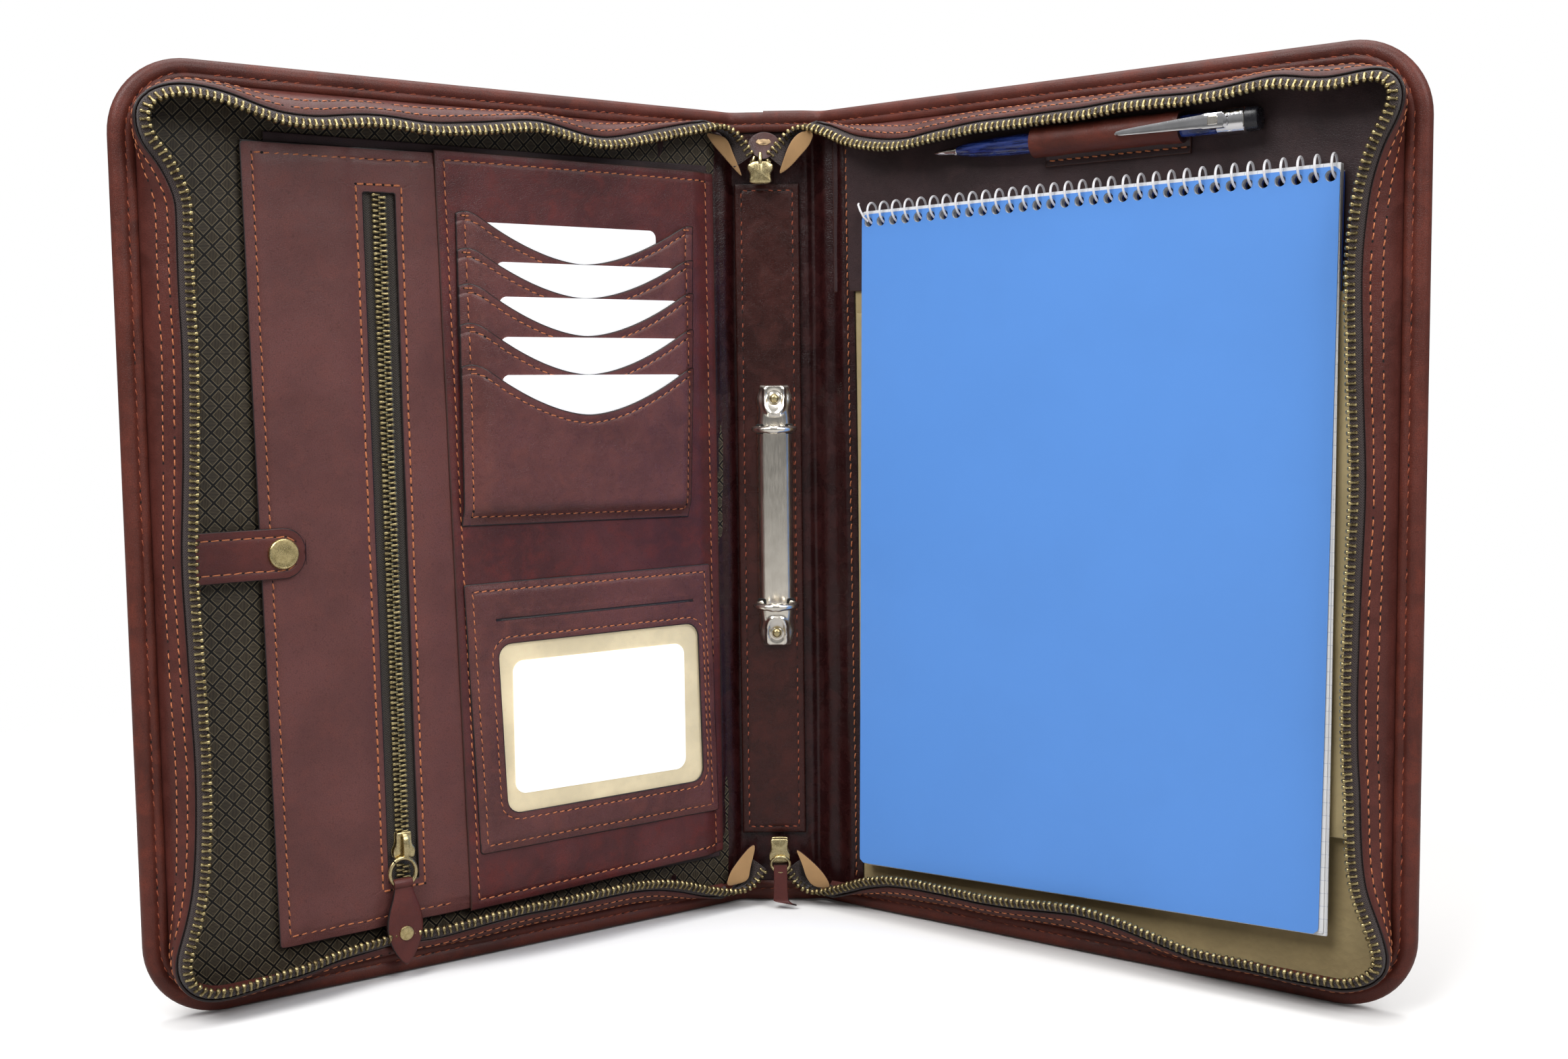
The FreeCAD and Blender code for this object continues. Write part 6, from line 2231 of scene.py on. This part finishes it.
def pad():
    piece = Piece("pad_cover_sheet", BLUE, BLUE_EDGE)
    perforated(piece, 9.92, 10.34, PAD_LOW, PAD_HIGH, cover_curl, edge_mat=1)
    piece.build("pad_cover", "pad_blue", "pad_cover")

    piece = Piece("pad_back_board", BLUE_BACK)
    perforated(piece, 4.5, 5.0, PAD_LOW, PAD_HIGH)
    piece.build("right_cover", "pad_blue", "pad_back")

    piece = Piece("pad_block", PAGES, PAGE_EDGE)
    perforated(piece, 6.2, 9.0, PAD_LOW + 1.0, PAGES_HIGH, edge_mat=1, corner=0.6, rows=6)
    piece.build("right_cover", "paper", "pad_pages")

    piece = Piece("pad_loose_sheets", PAGES, PAGE_EDGE)
    for i in range(5):
        low = 9.06 + i * 0.15
        z0 = PAD_LOW + RNG.uniform(-1.0, 1.5)
        perforated(piece, low, low + 0.07, z0, PAGES_HIGH - 0.1 * i,
                   lambda x, z: cover_curl(x, z) * (0.35 + 0.13 * i), edge_mat=1, corner=0.5,
                   rows=14, lean=-RNG.uniform(0.5, 3.6))
    piece.build("right_cover", "paper")


def pad_coil():
    """Wire coil, one open turn a hole, with a bent end at the left."""
    piece = Piece("pad_coil", WIRE)
    turns = np.linspace(-0.36, 0.70, 36)
    z = COIL_Z + COIL_RADIUS * np.cos(2 * math.pi * turns)
    y = COIL_Y + COIL_RADIUS * np.sin(2 * math.pi * turns)
    for hole_x in HOLE_XS:
        x = (hole_x + COIL_PITCH * 0.36 * (turns + 0.36) / 1.06 - 0.2
             + 0.6 * ease((turns - 0.5) / 0.2))
        tilted_x, tilted_z = pad_tilt(x, z)
        tube(piece, "R", xyz(tilted_x, y, tilted_z), 0.5, segments=8)
    x, z = pad_tilt(HOLE_XS[0], COIL_Z)
    tail = np.array([(0.2, 2.6, -3.6), (-1.2, 4.2, -1.6), (-2.6, 4.6, 1.2), (-3.9, 4.2, 3.8),
                     (-4.1, 3.4, 4.4)])
    tube(piece, "R", np.array([x, COIL_Y, z]) + tail, 0.5, segments=8)
    piece.build("right_cover", "wire", "pad_coil")


# ---------------------------------------------------------------- camera, light, floor
def camera():
    position = (0.01714, -0.77369, 0.23628)
    yaw, pitch, roll = 0.019338, 0.080105, -0.011929    # to the left, down, about the view
    data = bpy.data.cameras.new("camera")
    data.sensor_width = 36.0
    data.lens = 38.550516
    level = np.array([-math.sin(yaw), math.cos(yaw), 0.0])
    right = np.array([math.cos(yaw), math.sin(yaw), 0.0])
    forward = level * math.cos(pitch) - UP * math.sin(pitch)
    above = level * math.sin(pitch) + UP * math.cos(pitch)
    rolled_right = math.cos(roll) * right + math.sin(roll) * above
    rolled_up = -math.sin(roll) * right + math.cos(roll) * above
    matrix = np.eye(4)
    matrix[:3] = np.stack([rolled_right, rolled_up, -forward, position], 1)
    thing = bpy.data.objects.new("camera", data)
    bpy.context.scene.collection.objects.link(thing)
    thing.matrix_world = Matrix(matrix.tolist())
    bpy.context.scene.camera = thing


def studio_world():
    """White to the camera; the light itself grows from dark below to grey above."""
    world = bpy.data.worlds.new("studio")
    bpy.context.scene.world = world
    world.use_nodes = True
    shader = Shader(world.node_tree)
    shader.tree.nodes.clear()
    output = shader.tree.nodes.new("ShaderNodeOutputWorld")
    direction = shader.node("TexCoord", out="Generated")
    height = shader.node("SeparateXYZ", {0: direction}, out=2)
    grey = shader.node("MapRange", {"Value": height, "From Min": -0.2, "From Max": 0.9,
                                    "To Min": 0.05, "To Max": 0.55})
    lighting = shader.node("Background", {0: grey, 1: 1.0})
    backdrop = shader.node("Background", {0: (1, 1, 1, 1), 1: 1.0})
    camera_ray = shader.node("LightPath", out="Is Camera Ray")
    mixed = shader.node("MixShader", {0: camera_ray, 1: lighting, 2: backdrop})
    shader.put(output.inputs[0], mixed)


def area_light(name, location, size, power):
    """Square light aimed at the middle of the case."""
    light = bpy.data.lights.new(name, "AREA")
    light.shape = "RECTANGLE"
    light.size = light.size_y = size
    light.energy = power
    thing = bpy.data.objects.new(name, light)
    bpy.context.scene.collection.objects.link(thing)
    direction = Vector((0, -0.05, 0.2)) - Vector(location)
    thing.location = location
    thing.rotation_euler = direction.to_track_quat("-Z", "Y").to_euler()


def floor_material():
    """Pale floor that fades to white with distance; it reflects less than the camera sees."""
    material = bpy.data.materials.new("pale_floor")
    material.use_nodes = True
    shader = Shader(material.node_tree)
    nodes = shader.tree.nodes
    principled = nodes["Principled BSDF"]
    for name, value in (("Base Color", (0.93, 0.92, 0.91, 1)), ("Roughness", 0.75),
                        ("Specular IOR Level", 0.1)):
        principled.inputs[name].default_value = value
    position = shader.node("NewGeometry", out="Position")
    distance = shader.node("VectorMath", {0: position}, out="Value", operation="LENGTH")
    fade = shader.ramp(distance, 0.30, 0.75)
    white = shader.node("Emission", {0: (1, 1, 1, 1), 1: 1.0})
    faded = nodes.new("ShaderNodeMixShader")
    camera_ray = shader.node("LightPath", out="Is Camera Ray")
    shader.put(faded.inputs[0], shader.math("MULTIPLY", fade, camera_ray))
    diffuse = shader.node("BsdfDiffuse", {0: (0.42, 0.41, 0.40, 1)})
    camera_ray = shader.node("LightPath", out="Is Camera Ray")
    near = shader.node("MixShader", {0: camera_ray, 1: diffuse, 2: principled.outputs[0]})
    shader.put(faded.inputs[1], near)
    shader.put(faded.inputs[2], white)
    shader.put(nodes["Material Output"].inputs[0], faded.outputs[0])
    return material


def floor():
    material = floor_material()
    mesh = bpy.data.meshes.new("floor")
    work = bmesh.new()
    bmesh.ops.create_circle(work, cap_ends=True, segments=96, radius=6.0)
    work.to_mesh(mesh)
    work.free()
    mesh.materials.append(material)
    thing = bpy.data.objects.new("floor", mesh)
    thing.location = (0, 0, -0.0003)
    bpy.context.scene.collection.objects.link(thing)


# ---------------------------------------------------------------- build
# The order matters: all stitches and teeth draw from one random generator.
for cover in "LR":
    shell(cover)
for cover in "LR":
    binding(cover)
cover_lining("L", JACQUARD, "jacquard", start=5.0, height=1.7, scale=1.3, seed=0.0)
cover_lining("R", BEIGE, "leather_flesh", start=17.5, height=1.6, scale=1.1, seed=2.0)
for cover in "LR":
    spine_lining(cover)
spine_patch()

ring_housing()
ring_rivets()
ring_halves()
ring_knuckles()

for cover in "LR":
    zipper(cover)
for entry in FLAPS:
    flap(*entry)
case_sliders()
top_pull()
top_pull_rivet()
bottom_pull()
bottom_pull_ring()

left_flat_pocket()
organizer_back()
zip_panel()
pocket_zip_tape()
pocket_zip_teeth()
card_panel()
card_pockets()
window_pocket()
window_backing()
window_film()
cards()
closing_strap()
strap_stud()
pocket_slider()
pull_split_ring()
pull_tab()
pull_tab_rivet()

right_upper_panel()
pad_band()
pen_loop()
pen_barrel()
pen_metal()
pad()
pad_coil()

camera()
studio_world()
area_light("key_left", (-0.75, -1.05, 1.45), size=0.9, power=21)
area_light("fill_right", (0.95, -1.1, 1.25), size=0.9, power=14)
area_light("top", (0.0, 0.05, 1.6), size=1.2, power=14)
floor()

view = bpy.context.scene.view_settings
view.view_transform = "Standard"
view.look = "None"
view.exposure = 0.0
